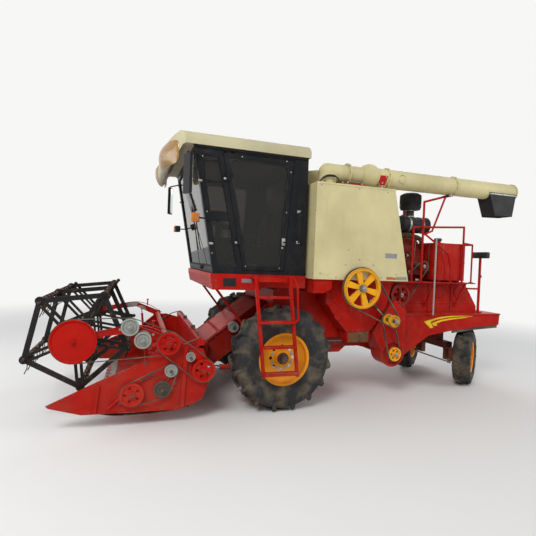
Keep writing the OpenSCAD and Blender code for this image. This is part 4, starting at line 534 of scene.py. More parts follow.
class Shape:
    """Closed shells gathered for one piece. Places and sizes are in millimetres of the source; paths,
    and the places of bolts, are points in metres from at(), row(), around() or on_side()."""

    def __init__(self):
        self.points, self.faces, self.count = [], [], 0

    def add(self, points, faces):
        """Takes in points in metres, with faces that count from the first of them."""
        points = np.asarray(points, float).reshape(-1, 3)
        self.faces += [[i + self.count for i in face] for face in faces]
        self.points.append(points)
        self.count += len(points)
        return self

    def moved(self, matrix):
        """The same shells under a 4 x 4 matrix."""
        m = np.array(matrix)
        self.points = [p @ m[:3, :3].T + m[:3, 3] for p in self.points]
        return self

    def mirror(self):
        """The shells so far, once more on the machine's other side."""
        return self.add(np.concatenate(self.points) * (1, -1, 1), self.faces)

    def piece(self, name, finish, body="root", replaces=(), sharp=38):
        """Makes the mesh, merges its doubles, turns its faces outwards, hangs it on its body's empty and
        hides the CAD parts that it replaces. Edges bent by more than sharp degrees stay sharp."""
        mesh = bpy.data.meshes.new(name)
        mesh.from_pydata(np.concatenate(self.points).tolist(), [], self.faces)
        solid = bmesh.new()
        solid.from_mesh(mesh)
        bmesh.ops.remove_doubles(solid, verts=solid.verts, dist=2e-6)
        bmesh.ops.recalc_face_normals(solid, faces=solid.faces)
        solid.to_mesh(mesh)
        solid.free()
        mesh.polygons.foreach_set("use_smooth", np.ones(len(mesh.polygons), bool))
        mesh.set_sharp_from_angle(angle=math.radians(sharp))
        mesh.materials.append(look[finish])
        obj = bpy.data.objects.new(name, mesh)
        bpy.context.collection.objects.link(obj)
        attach(obj, body)
        if replaces:
            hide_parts(*replaces)
        return obj

    def turn(self, place, axis, profile, segments=32, closed=False):
        """A profile of (radius, distance along the axis) turned a full round about the axis."""
        p = np.asarray(profile, float) / 1000
        a = np.arange(segments) * TAU / segments
        local = np.stack([p[:, :1] * np.cos(a), p[:, :1] * np.sin(a),
                          np.broadcast_to(p[:, 1:], (len(p), segments))], -1)
        first = self.count
        self.add(local @ basis(axis) + at(*place), grid(len(p), segments, closed, True))
        if not closed:
            for start, r in ((first, p[0, 0]), (self.count - segments, p[-1, 0])):
                if r > 1e-6:
                    self.faces.append(list(range(start, start + segments)))
        return self

    def ring(self, place, axis, inner, outer, low, high, segments=32):
        """A band about an axis."""
        section = ((inner, low), (outer, low), (outer, high), (inner, high))
        return self.turn(place, axis, section, segments, True)

    def sweep(self, path, outline, up=UP):
        """An outline of (side, up) carried along a path, square to it, with both ends closed."""
        path = np.asarray(path, float)
        tangent = np.gradient(path, axis=0)
        tangent /= np.linalg.norm(tangent, axis=1)[:, None]
        side = np.cross(tangent, np.asarray(up, float))
        # Where the path runs along up itself, a direction across the machine takes its place
        weak = np.linalg.norm(side, axis=1) < 0.05
        side[weak] = np.cross(tangent[weak], (0.0, 1.0, 0.02))
        side /= np.linalg.norm(side, axis=1)[:, None]
        rise = np.cross(side, tangent)
        o = np.asarray(outline, float) / 1000
        ring = side[:, None, :] * o[None, :, :1] + rise[:, None, :] * o[None, :, 1:]
        return self.add(path[:, None, :] + ring, tube(len(path), len(o)))

    def pipe(self, points, r, sides=10, between=6):
        """A round tube along a smooth path through the points."""
        return self.sweep(smooth_line([at(*p) for p in points], between), circle(r, sides))

    def rod(self, a, b, r, sides=8):
        """A straight round bar between two places."""
        return self.sweep(row(a, b, 3), circle(r, sides))

    def bead(self, points, y, r=3.5, between=5):
        """A pressed bead along a smooth line of (x, z) on a side sheet, half sunk in it."""
        return self.sweep(smooth_line(on_side(points, y), between), circle(r, 8), SIDE)

    def loop(self, path, outline, normal):
        """An outline carried round a closed flat path: side from the path's own run, height along the
        plane's normal."""
        n = np.asarray(normal, float)
        run = np.roll(path, -1, 0) - np.roll(path, 1, 0)
        side = np.cross(run / np.linalg.norm(run, axis=1)[:, None], n)
        o = np.asarray(outline, float) / 1000
        ring = side[:, None, :] * o[None, :, :1] + n * o[None, :, 1:]
        return self.add(path[:, None, :] + ring, grid(len(path), len(o), True, True))

    def plate(self, outline, y0, y1):
        """A flat outline of (x, z) given a thickness across the machine."""
        return self.add(np.vstack([on_side(outline, y0), on_side(outline, y1)]), tube(2, len(outline)))

    def round_box(self, low, high, r, corner=3, axes=np.eye(3), centre=(0, 0, 0)):
        """A block in metres with every edge rounded: rings of a rounded rectangle, drawn in and out over
        the height. axes and centre place it turned, low and high being measured from the centre."""
        low, high = np.asarray(low, float), np.asarray(high, float)
        turn = np.linspace(0, TAU / 4, corner + 1)
        signs = ((1, 1), (-1, 1), (-1, -1), (1, -1))
        c = np.concatenate([np.column_stack([np.cos(turn + start), np.sin(turn + start),
                                             np.tile(sign, (corner + 1, 1))])
                            for start, sign in zip(np.arange(4) * TAU / 4, signs)])
        mid, half = (low + high) / 2, abs(high - low) / 2
        rings = []
        for k, a in enumerate(np.concatenate([turn - TAU / 4, turn])):
            z = (half[2] - r) * (1 if k > corner else -1) + r * math.sin(a)
            flat = c[:, 2:] * (half[:2] - r) + c[:, :2] * r * math.cos(a)
            rings.append(np.column_stack([flat, np.full(len(c), z)]))
        points = (np.concatenate(rings) + mid) @ np.asarray(axes, float) + centre
        return self.add(points, tube(len(rings), len(c)))

    def block(self, low, high, r=3, corner=2):
        """A rounded block between two corners."""
        return self.round_box(at(*low), at(*high), r / 1000, corner)

    def bolts(self, places, normal, r=9):
        """Hexagon bolts on washers, r being half a head's width and the heights shares of it."""
        axes, head, disc = basis(normal), circle(r / 1000, 6), circle(r * 0.0015, 12)
        for place in np.atleast_2d(places):
            for rings in (((head, 0.1), (head, 0.75), (head * 0.84, 0.88)), ((disc, -0.05), (disc, 0.16))):
                n = len(rings[0][0])
                local = np.concatenate([np.column_stack([o, np.full(n, z * r / 1000)]) for o, z in rings])
                self.add(local @ axes + place, tube(len(rings), n))
        return self

    def dome(self, place, axis, r, high, base=0.0, segments=24):
        """A round cap: its profile is a quarter of an ellipse."""
        profile = [(0, -base), (r, -base)]
        profile += [(r * math.cos(a), high * math.sin(a)) for a in np.linspace(0, TAU / 4, 7)[:-1]]
        return self.turn(place, axis, profile + [(0, high)], segments)

    def nut(self, place, axis, r=15, stub=10):
        """A hexagon nut on a washer with the end of its stud standing out."""
        top = r * 0.88 + stub
        self.bolts([at(*place)], axis, r)
        stud = ((0, 0), (r * 0.45, 0), (r * 0.45, top), (r * 0.35, top + 2), (0, top + 2))
        return self.turn(place, axis, stud, 12)

    def clip(self, place, along, r):
        """A round clamp about a pipe."""
        return self.ring(place, along, r, r + 5, -8, 8, 14)


def shapes(n):
    """Empty shapes for a function that draws several pieces side by side."""
    return [Shape() for _ in range(n)]


# Wheels

# The hub or king pin, the steering turn in degrees, how far the wheel stands out from the pin; the
# tyre's radius, width, bead radius, lug height and lugs; the rim's face, bolt circle, nut size and nuts
WHEELS = {"front": ((0, 970, -182), 0, 0, (650, 400, 305, 44, 16), (50, 133, 14, 8)),
          "rear": ((-3180, 400, -392), 38, 200, (440, 270, 228, 30, 13), (20, 86, 10, 6))}


def tyre_shape(r, w, rim, lug, lugs):
    """Carcass: a closed profile turned about the axle. Lugs: an outline across the tread carried
    from the middle out over the shoulder along a chevron, tapering to the side wall."""
    low, half = r - lug, w / 2
    wall = low - rim
    section = np.array([
        (rim + 2, 0), (rim + 2, half * 0.70), (rim + 12, half * 0.735), (rim + 26, half * 0.76),
        (rim + 30, half * 0.80), (rim + wall * 0.2, half * 0.86), (rim + wall * 0.23, half * 0.90),
        (rim + wall * 0.27, half * 0.90), (rim + wall * 0.33, half * 0.935), (rim + wall * 0.5, half * 0.975),
        (rim + wall * 0.66, half * 0.955), (rim + wall * 0.8, half * 0.89), (rim + wall * 0.9, half * 0.78),
        (low - 4, half * 0.6), (low, half * 0.4), (low, 0)])
    shape = Shape().turn((0, 0, 0), SIDE, np.concatenate([section, section[::-1][1:-1] * (1, -1)]), 96, True)
    t = np.linspace(0, 1, 12)
    out = half * (-0.03 + 1.03 * t ** 0.86)
    floor = low - 8 - wall * 0.46 * ((t - 0.6).clip(0) / 0.4) ** 1.7
    height = (lug + 8) * (1 - 0.78 * ((t - 0.72).clip(0) / 0.28) ** 1.4)
    top = np.minimum(floor + height, r) - 4 * (out / half) ** 2 * (t < 0.8)
    lead = 0.55 * lug + out * math.tan(math.radians(36)) * (1 - 0.16 * t)
    foot, crest = lug * (0.62 + 0.12 * t), lug * (0.42 + 0.10 * t)
    for side, shift in ((1, 0), (-1, 0.5)):
        for i in range(lugs):
            rings = []
            for along, radius in ((-foot, floor), (-crest, top - 5), (-crest + 5, top), (crest - 5, top),
                                  (crest, top - 5), (foot, floor)):
                a = (i + shift) * TAU / lugs - (lead + along) / r
                rings.append(at(radius * np.sin(a), side * out, radius * np.cos(a)))
            shape.add(np.stack(rings, 1), tube(len(t), 6))
    return shape


def wheels():
    """Each wheel is made about the source's own origin, its outer side to the left, and then placed."""
    for end, (pin, turn, stand, tyre, (face, circle_r, nut, nuts)) in WHEELS.items():
        for side, s in (("left", 1), ("right", -1)):
            place = Matrix.Translation(at(pin[0], s * pin[1], pin[2])) \
                @ Matrix.Rotation(math.radians(turn), 4, "Z") @ Matrix.Translation((0, s * stand / 1000, 0)) \
                @ Matrix.Diagonal((1, s, 1, 1)) @ Matrix.Translation(-ORIGIN)
            body = f"{end}_wheel_{side}"
            tread = tyre_shape(*tyre).moved(place)
            tread.piece(f"{end}_tread_{side}", "tyre", body, (f"{end}_tyre_{side}",), 32)
            fittings = Shape().bolts(around((0, face, 0), SIDE, circle_r, nuts, TAU / nuts / 2), SIDE, nut)
            # Tyre valve on its short stem
            fittings.turn((0, face + 12, tyre[2] - 34), (0.2, 1, 0),
                          ((0, -20), (6, -20), (6, 20), (4, 22), (4, 34), (0, 34)), 10)
            fittings.moved(place).piece(f"{end}_wheel_nuts_{side}", "zinc", body)
            cap = Shape()
            if end == "front":
                cap.turn((0, 103, 0), SIDE, ((0, 0), (66, 0), (66, 4), (50, 6), (48, 30), (40, 42), (20, 48),
                                             (0, 50)))
                cap.bolts(around((0, 107, 0), SIDE, 58, 6), SIDE, 5)
                cap.moved(place).piece(f"front_hub_cap_{side}", "iron")
            else:
                cap.turn((0, 60.5, 0), SIDE, ((45, 0), (58, 0), (58, 6), (50, 8), (48, 24), (30, 34), (0, 36),
                                              (0, 31), (28, 29), (45, 20)), 28)
                cap.moved(place).piece(f"rear_hub_cap_{side}", "yellow", body)


# Cab

CAB_Y, TANK_Y, BODY_Y, HOOD_Y, HEAD_Y = 1030, 1180, 1000, 740, 1212
LAMP = (640, 2247)


def front_x(z):
    """The windscreen's lean."""
    return 910 + (z - 865) * 0.18


def post_x(z):
    """The lean of the post between door and front side pane."""
    return 540 + (z - 865) * 0.216


def side_wall(s):
    """Puts u, v and a depth on the cab's side wall, depth being outward from its face."""
    return lambda u, v, d: at(u, s * (CAB_Y + d), v)


def screen_wall(u, v, d):
    """Puts u, v and a depth on the leaning windscreen."""
    return at(front_x(v) + d, u, v)


def rear_wall(u, v, d):
    """Puts u, v and a depth on the cab's rear wall."""
    return at(-250 - d, u, v)


def door_corners(g):
    """The door's outline, drawn in by g."""
    low, high = 887 + g, 2267 - g
    return [(post_x(low) - g, low), (post_x(high) - g, high), (-62 + g, high), (22 + g, low)]


def pane_outline(low, high, front, rear):
    """An outline between the windscreen and the door's post, drawn in at its front and its rear."""
    return [(front_x(low) - front, low), (front_x(high) - front, high), (post_x(high) + rear, high),
            (post_x(low) + rear, low)]


def seal(shape, corners, wall, r):
    """A rubber seal whose outside keeps the opening's sharp corners while its inside is rounded: each
    point of the inner rounded outline is joined to its own corner. wall(u, v, depth) gives metres."""
    c = np.asarray(corners, float)
    inset, low, high, steps = 16, -17, -9, 6
    inner = rounded(c + np.sign(c.mean(0) - c) * inset, r, steps)
    outer = np.repeat(c, steps, axis=0)
    rings = [wall(o[:, 0], o[:, 1], depth) for o, depth in
             ((inner, low), (inner, high), (outer, high + 2), (outer, low))]
    return shape.add(np.concatenate(rings), grid(4, len(inner), True, True))


def cab_seals():
    """Seals of both doors, the front side panes, the windscreen and the rear window."""
    seal(Shape(), door_corners(58), side_wall(1), 95).piece("door_seal", "seal", "cab_door", sharp=50)
    fixed = seal(Shape(), pane_outline(935, 2225, 70, 62), side_wall(1), 45)
    # Strip under the roof's edge on both sides
    fixed.block((-236, 1030.5, 2302), (1185, 1045, 2314.6), 3).mirror()
    seal(fixed, door_corners(46), side_wall(-1), 95)
    for wall, y, low, high in ((screen_wall, 950, 925, 2235), (rear_wall, 620, 1765, 2185)):
        seal(fixed, [(-y, low), (-y, high), (y, high), (y, low)], wall, 60)
    fixed.piece("window_seals", "seal", sharp=50)


def cab_trim():
    """Bars across the front side panes, and the little light fastenings of doors and windscreen."""
    bars, light, lock = shapes(3)
    for low, high in ((2146, 2164), (1905, 1925), (1464, 1576)):
        bars.plate(pane_outline(low, high, 71, 63), 1011, 1021)
    bars.mirror()
    # Rim of the right-hand door, drawn on the wall as a shallow frame, and its hinges
    bars.loop(on_side(rounded(door_corners(6), 30), -1031), [(-14, 0), (14, 0), (11, 4), (-11, 4)], RIGHT)
    for z in (1195, 1935):
        bars.turn((post_x(z), -1048, z), (0.21, 0, 1), ((0, 0), (16, 0), (16, 92), (0, 92)), 18)
        bars.block((post_x(z) - 40, -1040, z + 6), (post_x(z) + 46, -1029, z + 80), 3)
        light.block((post_x(z) + 16, 1041, z + 8), (post_x(z) + 50, 1052, z + 36), 4)
    bars.piece("window_bars", "black")
    for x, z in ((1095, 1910), (942, 1193)):
        light.block((x - 26, CAB_Y, z - 13), (x + 20, CAB_Y + 8, z + 13), 4)
    for x, z in ((1075, 2190), (1000, 1560), (925, 1080)):
        light.dome((x, CAB_Y, z), SIDE, 9, 5)
    light.mirror()
    for y in np.linspace(-860, 860, 6):
        for z in (900, 2262):
            light.dome((front_x(z), y, z), (1, 0, -0.18), 8, 5)
    for z in (1640, 1260):
        light.block((-170, 1028, z - 18), (-124, 1034, z + 18), 3)
    light.piece("cab_fasteners", "zinc")
    for x, z in ((607, 2236), (40, 2246), (-20, 2117), (20, 1620), (515, 940), (84, 930)):
        lock.dome((x, CAB_Y, z), SIDE, 9, 6)
    lock.dome((56, CAB_Y, 1180), SIDE, 13, 8).block((22, 1029, 1212), (66, 1035, 1300), 4)
    lock.piece("door_lock", "zinc", "cab_door")


def cab_wiper():
    """Wiper on the windscreen: motor cap, arm and a bowed blade that follows the leaning pane."""
    shape, motor = Shape(), ((0, 0), (30, 0), (30, 12), (18, 30), (0, 32))
    shape.turn((front_x(905) + 2, 300, 905), (1, 0, -0.18), motor, 20)
    t = np.linspace(0, 1, 12)
    arm = screen_wall(300 - 190 * t, 905 + 520 * t, 26 - 34 * t ** 2)
    shape.sweep(arm, [(-8, -3), (8, -3), (6, 3), (-6, 3)], AHEAD)
    blade = screen_wall(130 - 40 * t, 1130 + 560 * t, -10)
    shape.sweep(blade, [(-6, -2), (6, -2), (3, 12), (-3, 12)], AHEAD)
    shape.piece("wiper", "plastic")


def cab_lamps():
    """Mirror faces, lamp glasses and their reflectors."""
    faces, rims, glasses, turn, caps = shapes(5)
    a = math.radians(20)
    turned = [[math.cos(a), math.sin(a), 0], [-math.sin(a), math.cos(a), 0], UP]
    faces.round_box((-0.0325, -0.066, 0.018), (-0.0302, 0.066, 0.412), 0.0011, 2, turned,
                    at(1262, 1218, 1725))
    rims.turn((1455.4, *LAMP), AHEAD, ((62.4, 0), (80, 0), (80, 8), (75.2, 12), (72, 4)), 32, True)
    glasses.dome((1455.8, *LAMP), AHEAD, 71, 14)
    # Turn lamps: amber towards the outside, black towards the windscreen
    x = front_x(1478) + 84
    turn.block((x - 4, 1070, 1426), (x + 86, 1126, 1530), 16, 4)
    caps.block((x - 16, 1026, 1428), (x + 66, 1072, 1528), 14, 4)
    # Head liner of the visor round each lamp
    caps.turn((1440, *LAMP), AHEAD, ((81.5, -20), (96, 30), (92, 34), (81.5, 0)), 32, True)
    faces.mirror().piece("mirror_faces", "mirror")
    rims.mirror().piece("lamp_rims", "chrome")
    glasses.mirror().piece("work_lamp_glasses", "lens_white")
    turn.mirror().piece("turn_lamps", "lens_amber")
    caps.mirror().piece("turn_lamp_backs", "plastic")


def pulled(u, v, half):
    """A square of u and v whose rim pulls in between the corners by a parabola."""
    depth = 0.045
    return (half[0] * u * (1 - depth * (1 - v ** 2) * u ** 2),
            half[1] * v * (1 - depth * (1 - u ** 2) * v ** 2))


def pad(shape, centre, axes, half, high, crown, grooves):
    """A cushion over a square of u and v: the top rises as the 0.42 power of (1 - u^6)(1 - v^6), with
    a crown of two cosines and a dip along each groove. A shallower copy closes the underside."""
    t = np.sin(np.linspace(-1, 1, 37) * TAU / 4)
    u, v = np.meshgrid(t, t, indexing="ij")
    rise = ((1 - u ** 6) * (1 - v ** 6)).clip(0) ** 0.42
    top = high[0] * rise + crown * np.cos(u * TAU / 4) * np.cos(v * TAU / 4) * rise
    for way, places, depth, width in ((u, grooves, 0.011, 0.045), (v, (-0.62, 0.62), 0.009, 0.04)):
        for where in places:
            top = top - depth * np.exp(-((way - where) / width) ** 2) * rise
    for z in (top, -high[1] * rise):
        shape.add(np.stack([*pulled(u, v, half), z], -1).reshape(-1, 3) @ axes + centre, grid(37, 37))
    return shape


def operator_chair():
    """Seat and back cushions with sewn channels and piping, in the place of the plain chair solid."""
    lean = math.radians(11)
    back = np.array([[-math.sin(lean), 0, math.cos(lean)], SIDE, [math.cos(lean), 0, math.sin(lean)]])
    back_place = at(-38, 0, 1480)
    places = (("seat_cushion", at(268, 0, 1169), np.eye(3), (0.228, 0.232), (0.062, 0.04), 0.012,
               (-0.3, 0.25)),
              ("seat_back", back_place, back, (0.245, 0.228), (0.05, 0.034), 0.014, (-0.45, 0.0, 0.45)))
    piping, shell = shapes(2)
    t, one = np.linspace(-1, 1, 25)[:-1], np.ones(24)
    for name, centre, axes, half, high, crown, grooves in places:
        cushion = pad(Shape(), centre, axes, half, high, crown, grooves)
        cushion.piece(name, "seat", "root", ("operator_seat",), 60)
        # Cord sewn round the rim, on the same pulled-in square
        x, y = pulled(np.concatenate([t, one, -t, -one]), np.concatenate([-one, t, one, -t]), half)
        piping.loop(np.stack([x, y, 0 * x], -1) @ axes + centre, circle(5.5, 8), axes[2])
    piping.piece("seat_piping", "piping")
    # Shell that carries the back cushion
    shell.round_box((-0.235, -0.205, -0.052), (0.2, 0.205, -0.036), 0.007, 3, back, back_place)
    shell.block((-40, -60, 1140), (30, 60, 1260), 6).piece("seat_shell", "cabin")


def lamp_covers():
    """Tinted covers across the visor: a squared oval of y and z laid on the roof's front, whose x is the
    smaller of the side profile (circle, straight and lower circle) and the bowed plan (a cube law). Each
    swells by (1 - a^2)(1 - b^2) over its lamp, and its edge dips into the roof."""
    rows, columns = 25, 15
    a, b = np.meshgrid(np.linspace(-1, 1, rows), np.linspace(-1, 1, columns), indexing="ij")
    y = 630 + 330 * a * np.sqrt(1 - 0.16 * b ** 4)
    z = 2238 + 146 * b * np.sqrt(1 - 0.3 * a ** 4)
    upper = 1245 + np.sqrt((262 ** 2 - (z - 2220.2) ** 2).clip(1))
    lower = 1448 + np.sqrt((52 ** 2 - (2137.2 - z) ** 2).clip(0))
    profile = np.where(z > 2183.7, upper, np.where(z > 2111.2, 1493 + (z - 2111.2) * 0.157, lower))
    x = np.minimum(profile, 1512 - 235 * (y / 1060) ** 3)
    swell = (1 - a ** 2) * (1 - b ** 2)
    sheet, n = grid(rows, columns), rows * columns
    index = np.arange(n).reshape(rows, columns)
    edge = np.concatenate([index[:, 0], index[-1, 1:], index[-2::-1, -1], index[0, -2:0:-1]]).tolist()
    rim = [[i, j, n + j, n + i] for i, j in zip(edge, edge[1:] + edge[:1])]
    under = [[i + n for i in quad] for quad in sheet]
    shape = Shape().add([at(x + 5 + 50 * swell, y, z), at(x + 53.5 * swell - 3, y, z)], sheet + under + rim)
    shape.mirror().piece("visor_lamp_covers", "lens_brown", sharp=60)


# Tank, body and hood

def tank_details():
    """Pressed lines, screws and blank plates on the tank's sides, its seams and the rim's rolled edge."""
    beads, screws, plates, reflectors = shapes(4)
    y = TANK_Y
    beads.bead([(-322, 1330), (-328, 1132), (-336, 1009), (-369, 912), (-462, 869), (-552, 899), (-664, 990),
                (-776, 1084), (-810, 1132), (-815, 1180)], y, 2.2)
    beads.bead([(-746, 982), (-802, 1043), (-872, 1075), (-944, 1088), (-1041, 1084), (-1141, 1045),
                (-1220, 965), (-1262, 850)], y, 2.2)
    screws.bolts(on_side([(-369, 1976), (-1318, 1965), (-783, 1194), (-745, 1007), (-944, 1074),
                          (-1148, 1013), (-1276, 852), (-620, 842), (-400, 888), (-1500, 900),
                          (-900, 1976)], y), SIDE, 7)
    # Blank identification plate, and the strip along the foot in two colours
    plates.plate([(-1322, 1175), (-1498, 1175), (-1498, 1112), (-1322, 1112)], y, y + 1.2)
    plates.bolts(on_side([(-1330, 1167), (-1490, 1167), (-1490, 1120), (-1330, 1120)], y + 1), SIDE, 3.5)
    plates.plate([(-1506, 871), (-1660, 871), (-1673, 832), (-1506, 832)], y, y + 1.2)
    reflectors.block((-1500, y, 832), (-1352, y + 3, 868), 1.2)
    # Screws down the front and along the sloping rear, corner posts of the raised rim
    for z in (1880, 1658, 1465, 1251, 1048, 880):
        screws.bolts([at(-310, y - 22, z)], AHEAD, 6)
    screws.bolts(row((-1674, 1100, 850), (-1444, 1100, 1980), 5), (-1, 0, 0.2), 7)
    low, high, half = -1290, -345, 670
    for x in np.linspace(-430, -1200, 5):
        beads.block((x - 12, half - 1, 2020), (x + 12, half + 6, 2232), 2)
    for shape in (beads, screws, plates, reflectors):
        shape.mirror()
    # Seams across the front, rolled edge of the rim and the seam at its foot
    for z in (1240, 1620):
        beads.rod((-308.5, -1150, z), (-308.5, 1150, z), 3)
    for grown, z, outline in ((0, 2238, circle(9, 8)), (3, 2019, circle(7, 6))):
        x0, x1, y1 = high + grown, low - grown, half + grown
        path = rounded([(x0, y1), (x1, y1), (x1, -y1), (x0, -y1)], 20)
        beads.loop(at(path[:, 0], path[:, 1], z), outline, UP)
    # Bolts of the elbow's flanges
    for x, z, axis, out in ((-870, 2215, AHEAD, AHEAD), (-894, 2215, AHEAD, BACK), (-600, 2031, UP, UP)):
        screws.bolts(around((x, 850, z), axis, 134, 8), out, 7)
    beads.piece("tank_seams", "cream")
    screws.piece("tank_screws", "zinc")
    plates.piece("blank_plates", "plate_grey")
    reflectors.piece("side_reflectors", "lens_amber")


def body_details():
    """Bearing cover, screw rows, drum flange, sump doors and latches on both sides of the body."""
    red, screws, wood = shapes(3)
    y = BODY_Y
    shaft_x, shaft_z = -970, 715
    turn = np.linspace(math.radians(190), math.radians(350), 28)
    rim = np.minimum(shaft_z + 330 * np.sin(turn), 778)
    red.plate(np.stack([shaft_x + 330 * np.cos(turn), rim], -1), y, y + 6)
    a = turn[2:-2:3]
    screws.bolts(at(shaft_x + 306 * np.cos(a), y + 6, shaft_z + 306 * np.sin(a)), SIDE, 7)
    for a, b, n in (((-610, 500), (-885, 165), 6), ((-1290, 165), (-1480, 440), 5),
                    ((-915, 142), (-1235, 142), 5), ((-610, 760), (-610, 540), 4)):
        screws.bolts(row((a[0], y, a[1]), (b[0], y, b[1]), n), SIDE, 6)
    red.turn((-760, y, 330), SIDE, ((0, 0), (52, 0), (52, 12), (30, 20), (0, 20)), 24)
    red.bead([(-600, 780), (-600, 512), (-893, 138), (-1258, 138), (-1488, 462)], y, 4, 2)
    # Door of the sump with its handle and latch
    wood.block((-1228, y - 4, -14), (-930, y + 6, 112))
    screws.pipe([(-1090, y + out, z) for out, z in ((6, -2), (34, 6), (36, 38), (34, 66), (6, 74))], 5, 8, 4)
    screws.block((-1226, y, 88), (-1176, y + 16, 122), 4)
    screws.bolts(row((-945, y + 5, 0), (-945, y + 5, 98), 2), SIDE, 6)
    # Bearing housings of the cross shafts on the core, above the rails
    for x, z, r in ((-300, 250, 74), (-520, 90, 60), (-1900, 330, 66)):
        red.turn((x, 710, z), SIDE, ((0, 0), (r, 0), (r, 8), (r * 0.58, 14), (r * 0.55, 30), (0, 32)), 28)
        screws.bolts(around((x, 718, z), SIDE, r * 0.8, 4, 0.7), SIDE, 7)
    for shape in (red, screws, wood):
        shape.mirror()
    # Flange of the drum, screws round it, and the case of the tailings housing
    screws.bolts(around((-1612, 1018, -182), SIDE, 163, 12, 0.2), SIDE, 6)
    red.ring((-1612, 1014, -182), SIDE, 170, 183, 0, 9, 48)
    case = [(-1310, 100), (-1530, 448), (-1618, 520), (-1780, 386), (-1780, -60)]
    for a, b, n in zip(case, case[1:], (6, 3, 3, 6)):
        screws.bolts(row((a[0], 1020, a[1]), (b[0], 1020, b[1]), n)[:-1], SIDE, 6)
    red.block((-1700, 1019, 250), (-1610, 1036, 330), 5)
    red.bead([(-1290, 105), (-1527, 465), (-1620, 545), (-1800, 400), (-1800, -130)], 1020, 5, 2)
    red.turn((-1480, 1020, 290), SIDE, ((0, 0), (62, 0), (62, 12), (44, 22), (42, 30), (22, 30)), 28)
    # Grain elevator: screws, cover of the lower shaft, door with its bolts, tension screws
    for xs in ((-850, -880, -915, -950), (-1085, -1110, -1150, -1185)):
        screws.bolts(at(xs, -1170.5, (60, 250, 440, 640)), RIGHT, 6)
    red.turn((-960, -1170, 20), RIGHT, ((45, 0), (118, 0), (118, 10), (104, 14), (45, 14)), 36)
    screws.bolts(around((-960, -1182, 20), SIDE, 98, 6), RIGHT, 7)
    red.block((-1120, -1178, 330), (-960, -1170, 480), 4)
    screws.bolts([at(-1040, -1178, 345), at(-1040, -1178, 465)], RIGHT, 8)
    for x in (-1190, -1020):
        screws.pipe([(x, -1140, 770), (x, -1140, 812)], 6, 8, 1)
    red.piece("body_covers", "red")
    screws.piece("body_screws", "screw")
    wood.piece("sump_doors", "sump")


STRIPES = (
    [(-2341, 204), (-2461, 102), (-2511, 113), (-2456, 198), (-2566, 234), (-2770, 263), (-2981, 277),
     (-3131, 280), (-3240, 275), (-3239, 282), (-3022, 292), (-2811, 288), (-2625, 269), (-2444, 231)],
    [(-2477, 172), (-2530, 135), (-2587, 146), (-2559, 171), (-2670, 207), (-2856, 233), (-3068, 252),
     (-3197, 269), (-3067, 266), (-2855, 254), (-2648, 230), (-2507, 189)])


def hood_details():
    """Stripes, screws, beads, curtains and lamps of the tail hood, covers of the straw body."""
    stripes, screws, flaps, red, cases, reds, ambers = everything = shapes(7)
    y = HOOD_Y
    for outline in STRIPES:
        stripes.plate(outline, y, y + 0.8)
    screws.bolts(row((-2040, y + 12, 308), (-3750, y + 12, 308), 11), SIDE, 6)
    screws.bolts(at((-1840, -1840, -1840, -2000, -3740, -3500), y, (270, 120, -60, -230, 200, 150)), SIDE, 7)
    red.bead([(-1830, 296), (-1830, -110), (-1995, -262)], y, 4, 2)
    red.bead([(-3770, 160), (-3332, 132), (-2872, 82), (-2442, 15), (-2352, -40), (-2040, -240)], y, 4, 3)
    # Rubber curtain clamped inside each foot of the hood
    flaps.plate([(-3760, 160), (-3330, 130), (-2870, 80), (-2870, 20), (-3330, 66), (-3760, 92)], y - 21,
                y - 15)
    # Round covers and rows of screws on the straw body
    for x in (-3080, -2700):
        red.turn((x, 600, 640), SIDE, ((0, 0), (96, 0), (96, 6), (86.4, 10), (82.56, 5), (0, 5)), 36)
        screws.bolts(around((x, 606, 640), SIDE, 74.88, 6), SIDE, 6)
    for x in (-2100, -2480, -2570, -2900, -2970, -3170):
        screws.bolts(row((x, 600, 360), (x, 600, 760), 6), SIDE, 6)
    red.rod((-2040, 601, 470), (-3330, 601, 470), 8, 6)
    # Tail lamps: black cases with a red and an amber half, and a round reflector under each
    cases.block((-3514, 446, 1191), (-3446, 754, 1289), 9)
    for shape, middle in ((reds, 676), (ambers, 524)):
        shape.block((-3527, middle - 68, 1202), (-3512, middle + 68, 1278), 6)
    reds.dome((-3504, 600, 900), BACK, 28, 6, 4)
    for shape in everything:
        shape.mirror()
    screws.bolts(row((-3342, -560, 612), (-3342, 560, 612), 8), (-1, 0, 0.68), 7)
    stripes.piece("hood_stripes", "stripe")
    screws.piece("hood_screws", "screw")
    flaps.piece("hood_curtains", "belt")
    red.piece("hood_covers", "red")
    cases.piece("tail_lamp_cases", "plastic")
    reds.piece("tail_lamps_red", "lens_red")
    ambers.piece("tail_lamps_amber", "lens_amber")


